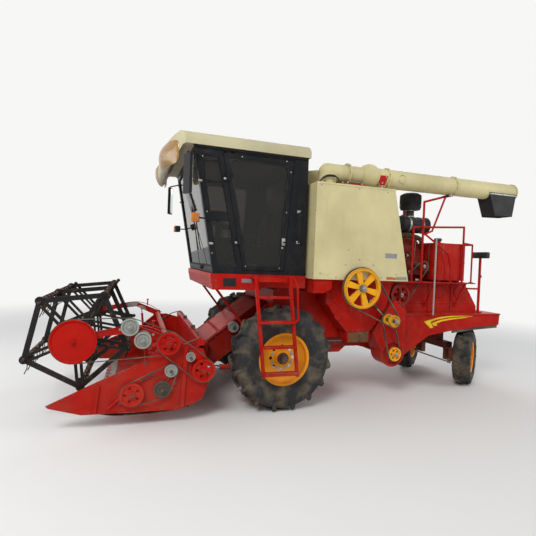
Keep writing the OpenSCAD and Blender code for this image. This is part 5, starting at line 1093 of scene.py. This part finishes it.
def platform_details():
    """Grille and blank plates of the apron, screws, and raised points of the treads and the walkway."""
    grille, plates, screws, grip = shapes(4)
    y = 1052
    grille.plate([(787, 794), (631, 797), (627, 699), (783, 696)], y, y + 5)
    for z in np.linspace(712, 782, 6):
        grille.block((640, y, z - 4), (775, y + 9, z + 4), 2)
    screws.bolts(on_side([(870, 760), (870, 690), (560, 680), (340, 720), (0, 760), (-200, 740), (-200, 820),
                          (900, 820)], y), SIDE, 7)
    plates.plate([(560, 790), (440, 790), (440, 745), (560, 745)], y, y + 1)
    for i, x in enumerate(np.arange(40, 430, 34)):
        for along in np.arange(1066, 1226, 34):
            grip.dome((x, along + 17 * (i % 2), 818), UP, 7, 3, 0, 8)
    for shape in (grille, plates, screws, grip):
        shape.mirror()
    # Four treads of the ladder, which leans back towards its foot
    lean = 145 / (845 + 345)
    for z, deep in ((580, 60), (290, 90), (-5, 90), (-320, 120)):
        x0 = 20 - lean * (845 - z)
        for x in np.arange(x0 + 40, x0 + 430, 30):
            for j in range(int(deep / 30)):
                grip.dome((x + 15 * (j % 2), 1297 - deep / 2 + j * 30, z + 26), UP, 6, 3, 0, 8)
    grille.piece("apron_grilles", "plastic")
    plates.piece("apron_plates", "plate_grey")
    screws.piece("platform_screws", "screw")
    grip.piece("tread_points", "red")


# Engine and deck

DECK = 801.2


def engine_details():
    """Rocker covers, injection pipes, filters, generator, hoses, silencer and their fastenings."""
    red, steel, dark, hose, rust = shapes(5)
    d = DECK
    # Three rocker covers over the head, each with a pair of nuts, and the filler
    for y in (-170, 120, 410):
        red.block((-2330, y - 120, d + 598), (-2052, y + 110, d + 646), 16, 4)
        for x in (-2290, -2092):
            steel.nut((x, y - 5, d + 646), UP, 10, 8)
    steel.turn((-2190, 120, d + 646), UP, ((0, 0), (34, 0), (34, 20), (28, 28), (0, 28)), 24)
    # Injection pump: its six unions and pipes to the head, and the governor case
    for i, y in enumerate(np.linspace(-90, 300, 6)):
        steel.turn((-1860, y, d + 480), UP, ((0, 0), (12, 0), (12, 22), (7, 30), (0, 30)), 12)
        target = -230 + i * 142
        steel.pipe([(-1860, y, d + 506), (-1858, y, d + 545), (-1900, (y + target) / 2, d + 590),
                    (-1945, target, d + 560), (-1980, target, d + 530)], 3.2, 6, 5)
    dark.block((-1925, -180, d + 380), (-1795, -110, d + 490), 14, 3)
    steel.block((-1925, 336, d + 392), (-1795, 356, d + 470), 5)
    # Two oil and fuel filters on the right, generator on the left, dipstick
    for x in (-2010, -2110):
        dark.turn((x, -352, d + 210), UP, ((0, 0), (44, 0), (48, 10), (48, 140), (40, 150), (0, 150)), 26)
        steel.turn((x, -352, d + 362), UP, ((0, 0), (50, 0), (50, 24), (0, 24)), 26)
    steel.turn((-1845, 430, d + 250), SIDE, ((0, 0), (62, 0), (66, 12), (66, 100), (55, 115), (20, 118),
                                             (20, 130), (0, 130)), 28)
    dark.turn((-1845, 560, d + 250), SIDE, ((0, 0), (38, 0), (28, 12), (38, 24), (0, 24)), 26)
    steel.pipe([(-2240, 561, d + 330), (-2240, 580, d + 420), (-2250, 572, d + 560), (-2262, 570, d + 640)],
               4, 8, 4)
    # Panel seams, head bolts, sump bolts and core plugs
    for y, axis in ((560.5, SIDE), (-330.5, RIGHT)):
        steel.bolts(row((-2380, y, d + 120), (-1850, y, d + 120), 7), axis, 7)
        steel.bolts(row((-2360, y, d + 375), (-1860, y, d + 375), 7), axis, 7)
        for x in (-2300, -2170, -1960):
            dark.dome((x, y, d + 230), axis, 27, 4)
        red.block((-2425, y, d + 392), (-1815, y + 8 * axis[1], d + 408))
    steel.bolts(row((-2390, -290, d + 400), (-2390, 520, d + 400), 8), UP, 8)
    # Face of the front gear case with its round covers
    red.plate([(-2400, d + 95), (-2400, d + 395), (-2330, d + 440), (-1900, d + 440), (-1840, d + 395),
               (-1840, d + 95)], 560, 568)
    steel.bolts(on_side([(-2380, d + 130), (-2380, d + 370), (-2200, d + 428), (-1900, d + 425),
                         (-1860, d + 300), (-1860, d + 130), (-2230, d + 108)], 568), SIDE, 8)
    for x, z, r in ((-2280, 1025, 50), (-2070, d + 380, 40), (-2120, d + 130, 50)):
        red.turn((x, 566, z), SIDE, ((0, 0), (r * 1.4, 0), (r * 1.3, 12), (r, 18), (0, 18)), 28)
    # Belt from the crank to the water pump, round both pulleys
    x1, z1, r1, x2, z2, r2 = -2070, d + 380, 68, -2120, d + 130, 86
    steel.nut((x1, 640, z1), SIDE, 13).nut((x2, 640, z2), SIDE, 18)
    lean = math.atan2(z1 - z2, x1 - x2)
    open_to = math.acos((r2 - r1) / math.hypot(x1 - x2, z1 - z2))
    up = np.linspace(lean - open_to, lean + open_to, 20)
    down = np.linspace(lean + open_to, lean - open_to + TAU, 28)
    line = [at(x + r * np.cos(a), 616, z + r * np.sin(a))
            for x, z, r, a in ((x1, z1, r1, up), (x2, z2, r2, down))]
    hose.loop(np.concatenate(line), [(-1, -7), (7, -9), (7, 9), (-1, 7)], SIDE)
    # Coolant hoses from the head and the pump round to the radiator
    hose.pipe([(-1960, -200, d + 500), (-1880, -250, d + 520), (-1850, -380, d + 600), (-1850, -480, d + 640),
               (-1850, -562, d + 650)], 27, 14)
    hose.pipe([(-2420, -240, d + 180), (-2480, -290, d + 170), (-2480, -400, d + 150), (-2480, -500, d + 130),
               (-2480, -562, d + 130)], 27, 14)
    for place, along in (((-1850, -540, d + 648), (0, 1, -0.1)), ((-1940, -212, d + 506), (1, -0.6, 0.1)),
                         ((-2480, -540, d + 130), SIDE), ((-2440, -254, d + 176), (1, 0.7, 0))):
        steel.clip(place, along, 26)
    # Fuel pipe from the tank's foot to the filters
    hose.pipe([(-2500, 440, d + 60), (-2440, 400, d + 50), (-2440, 100, d + 46), (-2430, -330, d + 60),
               (-2300, -372, d + 120), (-2150, -372, d + 330), (-2110, -352, d + 386)], 8, 8, 5)
    # Rusty silencer round the upright exhaust pipe, and the pipe's mouth
    rust.turn((-2620, -200, d + 700), UP, ((42.5, 0), (60, 0), (88, 30), (90, 50), (90, 350), (88, 370),
                                           (60, 400), (42.5, 400)), 32, True)
    for z in (740, 1060):
        rust.turn((-2620, -200, d + z), UP, ((89, 0), (95, 2), (95, 16), (89, 18)), 32, True)
    rust.turn((-2700, -200, d + 1260), (-1, 0, 1), ((36, -20), (46, -30), (46, 2), (37, 2)), 28, True)
    for y in (-200, -20, 160):
        rust.bolts(around((-2424, y, d + 481), AHEAD, 40, 4, 0.8), (-1, 0, 0.2), 7)
    # Brown bent pipe from the manifold towards the back of the tank
    rust.pipe([(-2375, 470, d + 470), (-2350, 590, d + 560), (-2260, 640, d + 640), (-2080, 650, d + 668),
               (-1830, 640, d + 668), (-1740, 600, d + 640)], 34, 14, 7)
    red.piece("engine_covers", "engine_red")
    steel.piece("engine_pipes_and_screws", "zinc")
    dark.piece("engine_filters", "iron")
    hose.piece("engine_hoses", "hose")
    rust.piece("silencer", "rust")


def air_cleaner_details():
    """Louvred head, clamps and ribs of the air cleaner, all turned about its two axes."""
    shape, bands = shapes(2)
    x0, y0, z0 = -2150, 545, 1645
    for z in np.linspace(1902, 1960, 5):
        shape.turn((x0, y0, z), UP, ((151.5, 0), (158, 4), (151, 8)), 40, True)
    for a in np.arange(24) * TAU / 24:
        out = np.array([math.cos(a), math.sin(a), 0])
        shape.round_box((-0.004, -0.007, 0), (0.004, 0.007, 0.11), 0.0025, 1,
                        [out, [-math.sin(a), math.cos(a), 0], UP], at(x0, y0, 1965) + out * 0.1525)
    for x in (-2380, -2290, -2180, -2080):
        shape.turn((x, y0, z0), AHEAD, ((117.5, 0), (124, 5), (124, 12), (117.5, 17)), 40, True)
    shape.dome((-2440, y0, z0), BACK, 116, 16)
    bands.nut((-2456, y0, z0), BACK, 14, 12)
    for x in (-2320, -2100):
        bands.ring((x, y0, z0), AHEAD, 118.5, 121.5, -16, 16, 40)
        bands.bolts([at(x, 405, 1666)], UP, 8)
    for x, y, z, r in ((x0, y0, 1760, 58.5), (x0, y0, 1850, 58.5), (-1880, 420, DECK + 470, 50.5)):
        bands.ring((x, y, z), UP, r, r + 4, 0, 14, 28)
    shape.piece("air_cleaner_ribs", "plastic", sharp=30)
    bands.piece("air_cleaner_clamps", "zinc")


def deck_details():
    """Seam, straps, cap and gauge of the fuel tank, radiator fins and cap, feet of the railings."""
    red, steel, dark = shapes(3)
    d = DECK
    path = rounded([(-2470, 770), (-3050, 770), (-3050, 250), (-2470, 250)], 70, 6)
    for z, r in ((d + 300, 5), (d + 40, 4), (d + 566, 4)):
        red.loop(at(path[:, 0], path[:, 1], z), circle(r, 8), UP)
    # Two straps over the tank: down both sides from a slightly raised top
    for x in (-2910, -2600):
        strap = at(x, (248, 248, 262, 758, 772, 772), d + np.array([26, 560, 586, 586, 560, 26]))
        red.sweep(smooth_line(strap, 1), strip(17, 1.5), (0, 0.02, 1))
    # Filler neck and ribbed cap, and the level pipe
    dark.turn((-2640, 600, d + 624), UP, ((0, 0), (52, 0), (55, 5), (55, 30), (46, 40), (0, 42)))
    for p in around((-2640, 600, d + 640), UP, 55, 18):
        dark.round_box(p - (0.003, 0.003, 0.012), p + (0.003, 0.003, 0.014), 0.002, 1)
    steel.pipe([(-2475, 640, d + 80), (-2455, 640, d + 90), (-2452, 640, d + 300), (-2455, 640, d + 520),
                (-2475, 640, d + 530)], 7, 10, 4)
    # Radiator: header tank, cap, side bolts and fins on its inner face
    dark.block((-2530, -812, d + 716), (-1750, -568, d + 772), 10)
    steel.turn((-2050, -690, d + 772), UP, ((0, 0), (36, 0), (36, 14), (22, 20), (0, 20)), 26)
    for x in np.linspace(-2490, -1790, 37):
        dark.block((x - 3, -559.5, d + 60), (x + 3, -552, d + 700), 1.2, 1)
    for x in (-2500, -1780):
        steel.bolts(row((x, -820.5, d + 40), (x, -820.5, d + 690), 6), RIGHT, 7)
    # Round feet and screws of railings and rest
    for x, y in ((-2035, 796), (-2945, 796), (-3120, 796), (-3120, -600), (-2172, 832), (-2700, 832)):
        red.turn((x, y, d), UP, ((10, 0), (36, 0), (36, 6), (22, 12), (10, 12)), 20, True)
        steel.bolts(around((x, y, d + 6), UP, 29, 3, 0.5), UP, 5)
    for y in (-600, 600):
        steel.bolts([at(-3506, y, 336), at(-3462, y - 30, 336), at(-3462, y + 30, 336)], UP, 6)
    # Rubber pad on the rest's bearer
    dark.ring((-2550, 790, 2067.8), SIDE, 17.2, 18.5, 0, 120, 20)
    # Raised points of the deck's walkway behind the fuel tank and along the left
    for i, y in enumerate(np.arange(640, 835, 38)):
        for x in np.arange(-2000, -1745, 38):
            red.dome((x + 19 * (i % 2), y, d), UP, 7, 3, 0, 8)
    red.piece("deck_fittings", "red")
    steel.piece("deck_screws", "screw")
    dark.piece("deck_dark_fittings", "iron")


# Unloading tube

def tube_details():
    """Flange bolts, seams, lid, gusset and spout lip of the unloading auger, pipes of its cylinder."""
    cream, steel, red, lip, fittings, hoses = shapes(6)
    x0, y0, z0 = -1215, 850, 2215
    for x in (-262, -1400):
        for side, axis in ((0, AHEAD), (-22, BACK)):
            steel.bolts(around((x0 + x + side, y0, z0), AHEAD, 140, 10, 0.3), axis, 6)
    for x in (-500, -900, -1150, -1700, -2000, -2300):
        cream.turn((x0 + x, y0, z0), AHEAD, ((129, 0), (132.5, 3), (132.5, 9), (129, 12)), 40, True)
    # Round inspection lid on the near side of the tube, and the end cap
    cream.turn((x0 - 460, y0 + 126, z0), SIDE, ((50, 0), (62, 0), (60, 8), (50, 9)), 32, True)
    steel.bolts(around((x0 - 460, y0 + 130, z0), SIDE, 52, 4, 0.8), SIDE, 5)
    steel.bolts(around((x0 - 2542, y0, z0), AHEAD, 120, 8), BACK, 6)
    cream.ring((x0 - 2542, y0, z0), BACK, 60, 70, 0, 4)
    # Red gusset plate over the swing bolt, with its bolts
    gx = x0 - 140
    red.plate([(gx - 92, z0 + 12), (gx + 82, z0 + 12), (gx + 31, z0 - 138), (gx - 31, z0 - 138)], 980.4, 985)
    steel.bolts(on_side([(gx - 60, z0 - 6), (gx + 50, z0 - 6), (gx, z0 - 90)], 985), SIDE, 8)
    # Rolled lip at the spout's foot and a steel clamp round its neck
    for s, axis in ((1, SIDE), (-1, RIGHT)):
        y = y0 + s * 124
        lip.rod((x0 - 2135, y, z0 - 374), (x0 - 2435, y, z0 - 374), 5)
        steel.block((x0 - 2508, y, z0 - 72), (x0 - 2012, y + s * 4, z0 - 52), 2)
        steel.bolts(row((x0 - 2040, y + s * 4, z0 - 62), (x0 - 2480, y + s * 4, z0 - 62), 5), axis, 6)
    lip.piece("spout_lip", "plastic", "unloading_auger")
    cream.piece("tube_seams", "cream", "unloading_auger")
    steel.piece("tube_screws", "zinc", "unloading_auger")
    red.piece("swing_gusset", "red", "unloading_auger")
    # Swing cylinder: two ports and a steel pipe along the barrel
    base, eye = np.array([-755.0, 1000.0, 2049.0]), np.array([-1355.0, 970.0, 2049.0])
    along = (eye - base) / np.linalg.norm(eye - base)
    for t in (70, 290):
        fittings.turn(base + along * t + (0, 0, 18), UP, ((0, 0), (9, 0), (9, 16), (6, 20), (0, 20)), 12)
    run = ((70, 36), (100, 44), (200, 44), (270, 44), (290, 36))
    fittings.pipe([base + along * t + (0, 0, z) for t, z in run], 5, 8, 5)
    fittings.piece("swing_cylinder_pipe", "zinc", "swing_barrel")
    # Two pressure pipes on the tank's roof, from the elbow's foot to a junction block beside the pin
    for k in (0, 16):
        hoses.pipe([(-430, 960 + k, 2016), (-440, 960 + k, 2060), (-520, 975 + k, 2140 - k),
                    (-640, 985 + k, 2150 - k), (-700, 990 + k, 2090), (-700, 992 + k, 2040)], 8, 8)
    hoses.block((-722, 982, 2016), (-680, 1018, 2046), 4).piece("tank_roof_hoses", "hose")


# Drives on the left side

def drive_details():
    """Nuts of the side drive's shafts, grooves of its wheels, grease nipples and the tension rod."""
    steel, dark = shapes(2)
    for x, y, z, r, stub in ((-970, 1280, 715, 24, 16), (-1480, 1266, 290, 18, 12),
                             (-1612, 1108, -182, 18, 10), (-1900, 780, 600, 18, 10),
                             (-2280, 768, 1025, 18, 10)):
        steel.nut((x, y, z), SIDE, r, stub)
    steel.bolts(around((-970, 1268, 715), SIDE, 37, 4, 0.4), SIDE, 6)
    # Machined grooves round the rims of the flywheel and the drive pulleys
    for x, z, r, y in ((-970, 715, 258, 1256.3), (-1480, 290, 78, 1231.5)):
        for off in (-6, -18):
            dark.ring((x, y, z), SIDE, r + off, r + off + 2.5, -0.5, 0.5, 64)
    # Grease nipples at the ends of the shafts
    for place in ((-1480, 1230, 212), (-1900, 760, 640)):
        steel.turn(place, (0, 0.2, 1), ((0, 0), (5, 0), (5, 10), (3, 14), (0, 16)), 10)
    # Tension rod under the flywheel, between two lugs on the body, with its spring
    steel.rod((-1200, 1030, 560), (-1440, 1030, 330), 8, 10)
    dark.block((-1216, 1000, 545), (-1184, 1040, 575), 4).block((-1456, 1020, 316), (-1424, 1042, 346), 4)
    coils = [(18 - 3 * (i % 2), 6 * i) for i in range(1, 18)]
    dark.turn((-1250, 1030, 512), (-240, 0, -230), [(8.5, 0)] + coils + [(8.5, 108)], 18, True)
    steel.piece("drive_nuts", "zinc")
    dark.piece("drive_grooves_and_tensioner", "iron")


# Header, feeder and chassis

END_EDGE = ((2540, -522), (2120, -345), (1640, -145), (1560, -62), (1440, 38), (1262, 48))
SLOPE = math.radians(36.87)
FEEDER_UP = np.array([math.sin(SLOPE), math.cos(SLOPE)])


def feeder_point(f, h):
    """A point (x, z) at f along the feeder house from its pivot and h above its middle line."""
    return (100.0, 305.0) + np.array([math.cos(SLOPE), -math.sin(SLOPE)]) * f + FEEDER_UP * h


def header_details():
    """Screw rows, bearing bolts, shaft nuts, pipes, guard rivets and skids; all ride on the header."""
    steel, red, dark, blade = shapes(4)
    y = HEAD_Y
    for a, b, n in zip(END_EDGE, END_EDGE[1:], (5, 6, 2, 3, 3)):
        steel.bolts(row((a[0], y, a[1]), (b[0], y, b[1]), n)[:-1], SIDE, 7)
    steel.bolts(row((1040, y, -560), (1230, y, -640), 3), SIDE, 7)
    steel.bolts(row((1300, y, -648), (2180, y, -632), 7), SIDE, 7)
    steel.bolts(around((1350, 1226, -335), SIDE, 47, 4, 0.78), SIDE, 8)
    red.bead([(2500, -560), (2240, -628), (1262, -640), (1030, -548), (958, -350)], y, 4, 2)
    # Bracket bolts of the reel arm, foot bolt of the cylinder
    steel.bolts(on_side([(1372, 40), (1428, 40)], y), SIDE, 9)
    steel.nut((1620, y, -135), SIDE, 12, 6)
    # Skid under each end of the floor: a bent shoe
    shoe = on_side([(1150, -650), (1500, -690), (1900, -690), (2120, -650)], 1160)
    dark.sweep(smooth_line(shoe, 4), strip(30, 3))
    # Pressure pipes along the upper beam, down both ends to the reel cylinders
    points = ((1030, 480, 124), (1030, 700, 122), (1030, 1080, 122), (1060, 1172, 110), (1180, 1178, 72),
              (1330, 1180, -20), (1480, 1180, -90), (1570, 1180, -160), (1600, 1168, -186),
              (1622, 1148, -176))
    steel.pipe(points, 7)
    for p, q in ((points[1], points[2]), (points[4], points[5])):
        dark.clip((np.array(p) + q) / 2, at(*q) - at(*p), 7)
    dark.block((1006, 410, 112), (1058, 470, 142), 4)
    # Screws on the feeder house's sides
    for f in (180, 420, 700, 1000):
        steel.bolts(on_side([feeder_point(f, -118), feeder_point(f, 118)], 450), SIDE, 8)
    for shape in (steel, red, dark):
        shape.mirror()
    # Nuts on the drive shafts of the left end, gear case and guard bolts
    for x, z, along, r in ((1012, -225, 1320, 10), (1400, 85, 1326, 8), (1760, -455, 1306, 13),
                           (1452, -412, 1306, 13), (1364, -214, 1306, 12), (1158, -72, 1306, 11)):
        steel.nut((x, along, z), SIDE, r, 5)
    for x, z, r, along in ((1012, -225, 34, 1309), (1400, 85, 33, 1315), (1760, -455, 32, 1295)):
        steel.bolts(around((x, along - 0.6, z), SIDE, r * 0.8, 3, 0.5), SIDE, 4)
    steel.bolts(on_side([(1716, -396), (1838, -412), (1880, -545), (1672, -556)], 1242), SIDE, 8)
    steel.bolts(on_side([(982, -112), (1155, -100), (1158, -10), (1030, -34)], 1238), SIDE, 8)
    red.turn((1760, 1242, -455), SIDE, ((0, 0), (75, 0), (75, 4), (50, 8.5), (0, 8.5)), 30)
    # Tension spring with its eye bolts behind the knife's belt
    a, b = at(1545, 1228, -255), at(1660, 1228, -318)
    axes = basis(b - a)
    t = np.linspace(0, 14 * TAU, 14 * 10)
    way = np.stack([0.011 * np.cos(t), 0.011 * np.sin(t), t / t[-1] * np.linalg.norm(b - a)], -1) @ axes + a
    steel.sweep(way, circle(2.2, 5), axes[2])
    steel.bolts([a - (0, 0.016, 0), b - (0, 0.016, 0)], SIDE, 9)
    # Rivets of the knife guards, and hold-down clips over the knife
    for i in range(-14, 15):
        for x, shift in ((1995, 20), (2040, 0)):
            steel.dome((x, i * 76 + shift, -621.2), UP, 5, 0.8, 0, 8)
    for i in range(-12, 13, 4):
        blade.block((1958, i * 76 + 28, -608.5), (1974, i * 76 + 48, -600), 2)
    # Bolts through the back sheet into its uprights, and along the beam
    for along in (-880, -620, 620, 880):
        steel.bolts(row((1001.5, along, 20), (1008, along, -300), 4), BACK, 8)
    steel.bolts(row((1040, -1120, 110), (1040, 1120, 110), 14), UP, 8)
    # Top cover of the feeder house in two sheets with their screws, nut of its chain wheel
    for f in (330, 640, 930):
        for along in (-360, -120, 120, 360):
            p = feeder_point(f, 150.4)
            steel.bolts([at(p[0], along, p[1])], (FEEDER_UP[0], 0, FEEDER_UP[1]), 8)
    for low, high in ((300, 600), (640, 960)):
        red.plate([feeder_point(low, 150.2), feeder_point(high, 150.2), feeder_point(high, 154),
                   feeder_point(low, 154)], -400, 400)
    steel.nut((500, 520, 118), SIDE, 15, 8)
    steel.piece("header_screws_and_pipes", "screw", "header")
    red.piece("header_covers", "header_red", "header")
    dark.piece("header_skids_and_clips", "iron", "header")
    blade.piece("knife_clips", "steel", "header")


def reel_details():
    """Spring coils of the tines, clamps of the bats, and the bolts of spiders, disc and arms."""
    centre = np.array([2338.0, 123.0])
    heads, disc, arms, red = shapes(4)
    turns = np.linspace(0, 3 * TAU, 31)
    for i in range(5):
        a = math.radians(48 + 72 * i)
        ahead, across = np.array([math.cos(a), math.sin(a)]), np.array([-math.sin(a), math.cos(a)])
        x, z = centre + 525 * ahead
        coils = Shape()
        for k in range(-6, 7):
            y = (k + (0.35 if k == 0 else 0)) * 150
            coil = at(x + 27 * np.sin(turns), y - 6 - turns / TAU * 9.5, z + 27 * np.cos(turns))
            coils.sweep(coil, circle(4.2, 5), SIDE)
            coils.block((x - 9, y - 44, z + 20), (x + 9, y - 34, z + 34), 2, 1)
        for y in (-1026, -34, 26, 1020):
            coils.ring((x, y, z), SIDE, 22.1, 31, -8, 8, 20)
            coils.bolts([at(x, y, z + 31)], UP, 5)
        coils.piece(f"tine_springs_{i + 1}", "reel_rust", f"bat_{i + 1}")
        # Bolts of the spiders, and their gusset plates at the bats
        spots = [centre + ahead * r + across * h for r in (76, 472) for h in (-27, 27)]
        gusset = [centre + ahead * r + across * h for r, h in ((430, 46), (500, 30), (500, -30), (430, -46))]
        for y in (-1060, 0, 1060):
            heads.bolts(on_side(spots, y + 8.2), SIDE, 7).bolts(on_side(spots, y - 8.2), RIGHT, 7)
            heads.plate(gusset, y - 11, y - 8.2)
    heads.piece("reel_bolts", "reel_rust", "reel")
    disc.nut((2338, 1292, 123), SIDE, 17, 10).bolts(around((2338, 1262.4, 123), SIDE, 82, 6), SIDE, 7)
    for r in (128, 150):
        disc.turn((2338, 1256.6, 123), SIDE, ((r - 3, -1), (r + 3, -1), (r, 2.5)), 64, True)
    disc.piece("reel_disc_fittings", "header_red", "reel")
    arms.bolts(around((2338, 1182, 123), SIDE, 38, 4, 0.6), SIDE, 6)
    arms.bolts(on_side([(1560, 165), (1900, 225), (2180, 165)], 1170), SIDE, 9)
    # Stops: square posts with a head that stand on the arm, and the arm's upper edge
    for x, z in ((2215, 172), (1560, 214)):
        red.block((x - 9, 1150, z), (x + 9, 1166, z + 92))
        red.block((x - 17, 1144, z + 88), (x + 17, 1172, z + 104), 4)
    edge = on_side([(1330, 96), (1520, 215), (1730, 268), (2020, 226), (2258, 176)], 1158)
    red.sweep(smooth_line(edge, 5), strip(15, 3)).mirror()
    arms.mirror()
    for x, z in ((1800, 265), (1668, 122)):
        arms.nut((x, 1296, z), SIDE, 14, 10)
        for r, y in ((34, 1288), (62, 1260.4), (80, 1260.4)):
            arms.turn((x, y, z), SIDE, ((r, -1), (r + 3, -1), (r + 1.5, 1.5)), 48, True)
    arms.piece("arm_bolts", "zinc", "reel_arms")
    red.piece("arm_stops", "header_red", "reel_arms")
    ring = Shape().bolts(around((2280, -1128.4, 157), SIDE, 111, 10), RIGHT, 6)
    ring.piece("control_ring_bolts", "reel_rust", "control_ring")


def chassis_details():
    """Rail bolts, pipes along the rails, gear case bolts, and plates of the rear axle."""
    steel, dark, red = shapes(3)
    y = 690
    for xs, zs in (((120, -60, -330, -700, -1200, -1700), (-30, -80)), ((-2600, -2900, -3380), (90, 130))):
        steel.bolts(on_side([(x, z) for x in xs for z in zs], y), SIDE, 9)
    steel.pipe([(180, 702, -50), (-200, 702, -54), (-900, 702, -54), (-1500, 702, -54), (-1840, 700, -50),
                (-2000, 700, 10), (-2200, 700, 110)], 6, 8, 4)
    for x in (-150, -520, -1040, -1480):
        dark.block((x - 9, y, -66), (x + 9, y + 22, -42))
    # Final drives: rim of bolts on the inner faces, breather, and the brake pipe over the axle
    steel.bolts(around((0, 769.6, -182), SIDE, 132, 10), RIGHT, 8)
    steel.turn((0, 820, -32), UP, ((0, -4), (9, -4), (9, 8), (0, 10)), 12)
    for x in (-56, 56):
        red.block((x - 12, 580, -112), (x + 12, 660, -106), 2)
    dark.pipe([(30, 190, -112), (34, 300, -106), (34, 560, -106), (30, 700, -100), (20, 790, -40)], 5, 8, 5)
    # U-bolts that hold the axle under the rails
    for x in (-84, 84):
        for along in (634, 686):
            steel.pipe([(x, along, -104), (x, along, -180), (x, along, -262)], 8, 10, 2)
            steel.nut((x, along, -262), DOWN, 13, 6)
    dark.block((-100, 618, -262), (100, 702, -248), 4)
    # Rear axle: bolts of the forks and of the centre block, and stops beside the forks
    steel.bolts([at(-3180, 400, -289)], UP, 20)
    for x in (-72, 72):
        steel.nut((-3180 + x, 80, 64), DOWN, 12, 6)
    dark.block((-3228, 252, -330), (-3142, 272, -292), 4)
    for shape in (steel, dark, red):
        shape.mirror()
    steel.bolts(around((0, 111, -182), SIDE, 128, 12), SIDE, 8)
    steel.piece("chassis_bolts_and_pipes", "zinc")
    dark.piece("chassis_clips", "iron")
    red.piece("axle_pads", "dark_red")


# The dressing put together

bpy.context.scene.view_settings.view_transform = "Standard"
for step in (set_camera, set_stage, dress_nodes, wheels, cab_seals, cab_trim, cab_wiper, cab_lamps,
             operator_chair, lamp_covers, tank_details, body_details, hood_details, platform_details,
             engine_details, air_cleaner_details, deck_details, tube_details, drive_details, header_details,
             reel_details, chassis_details):
    step()
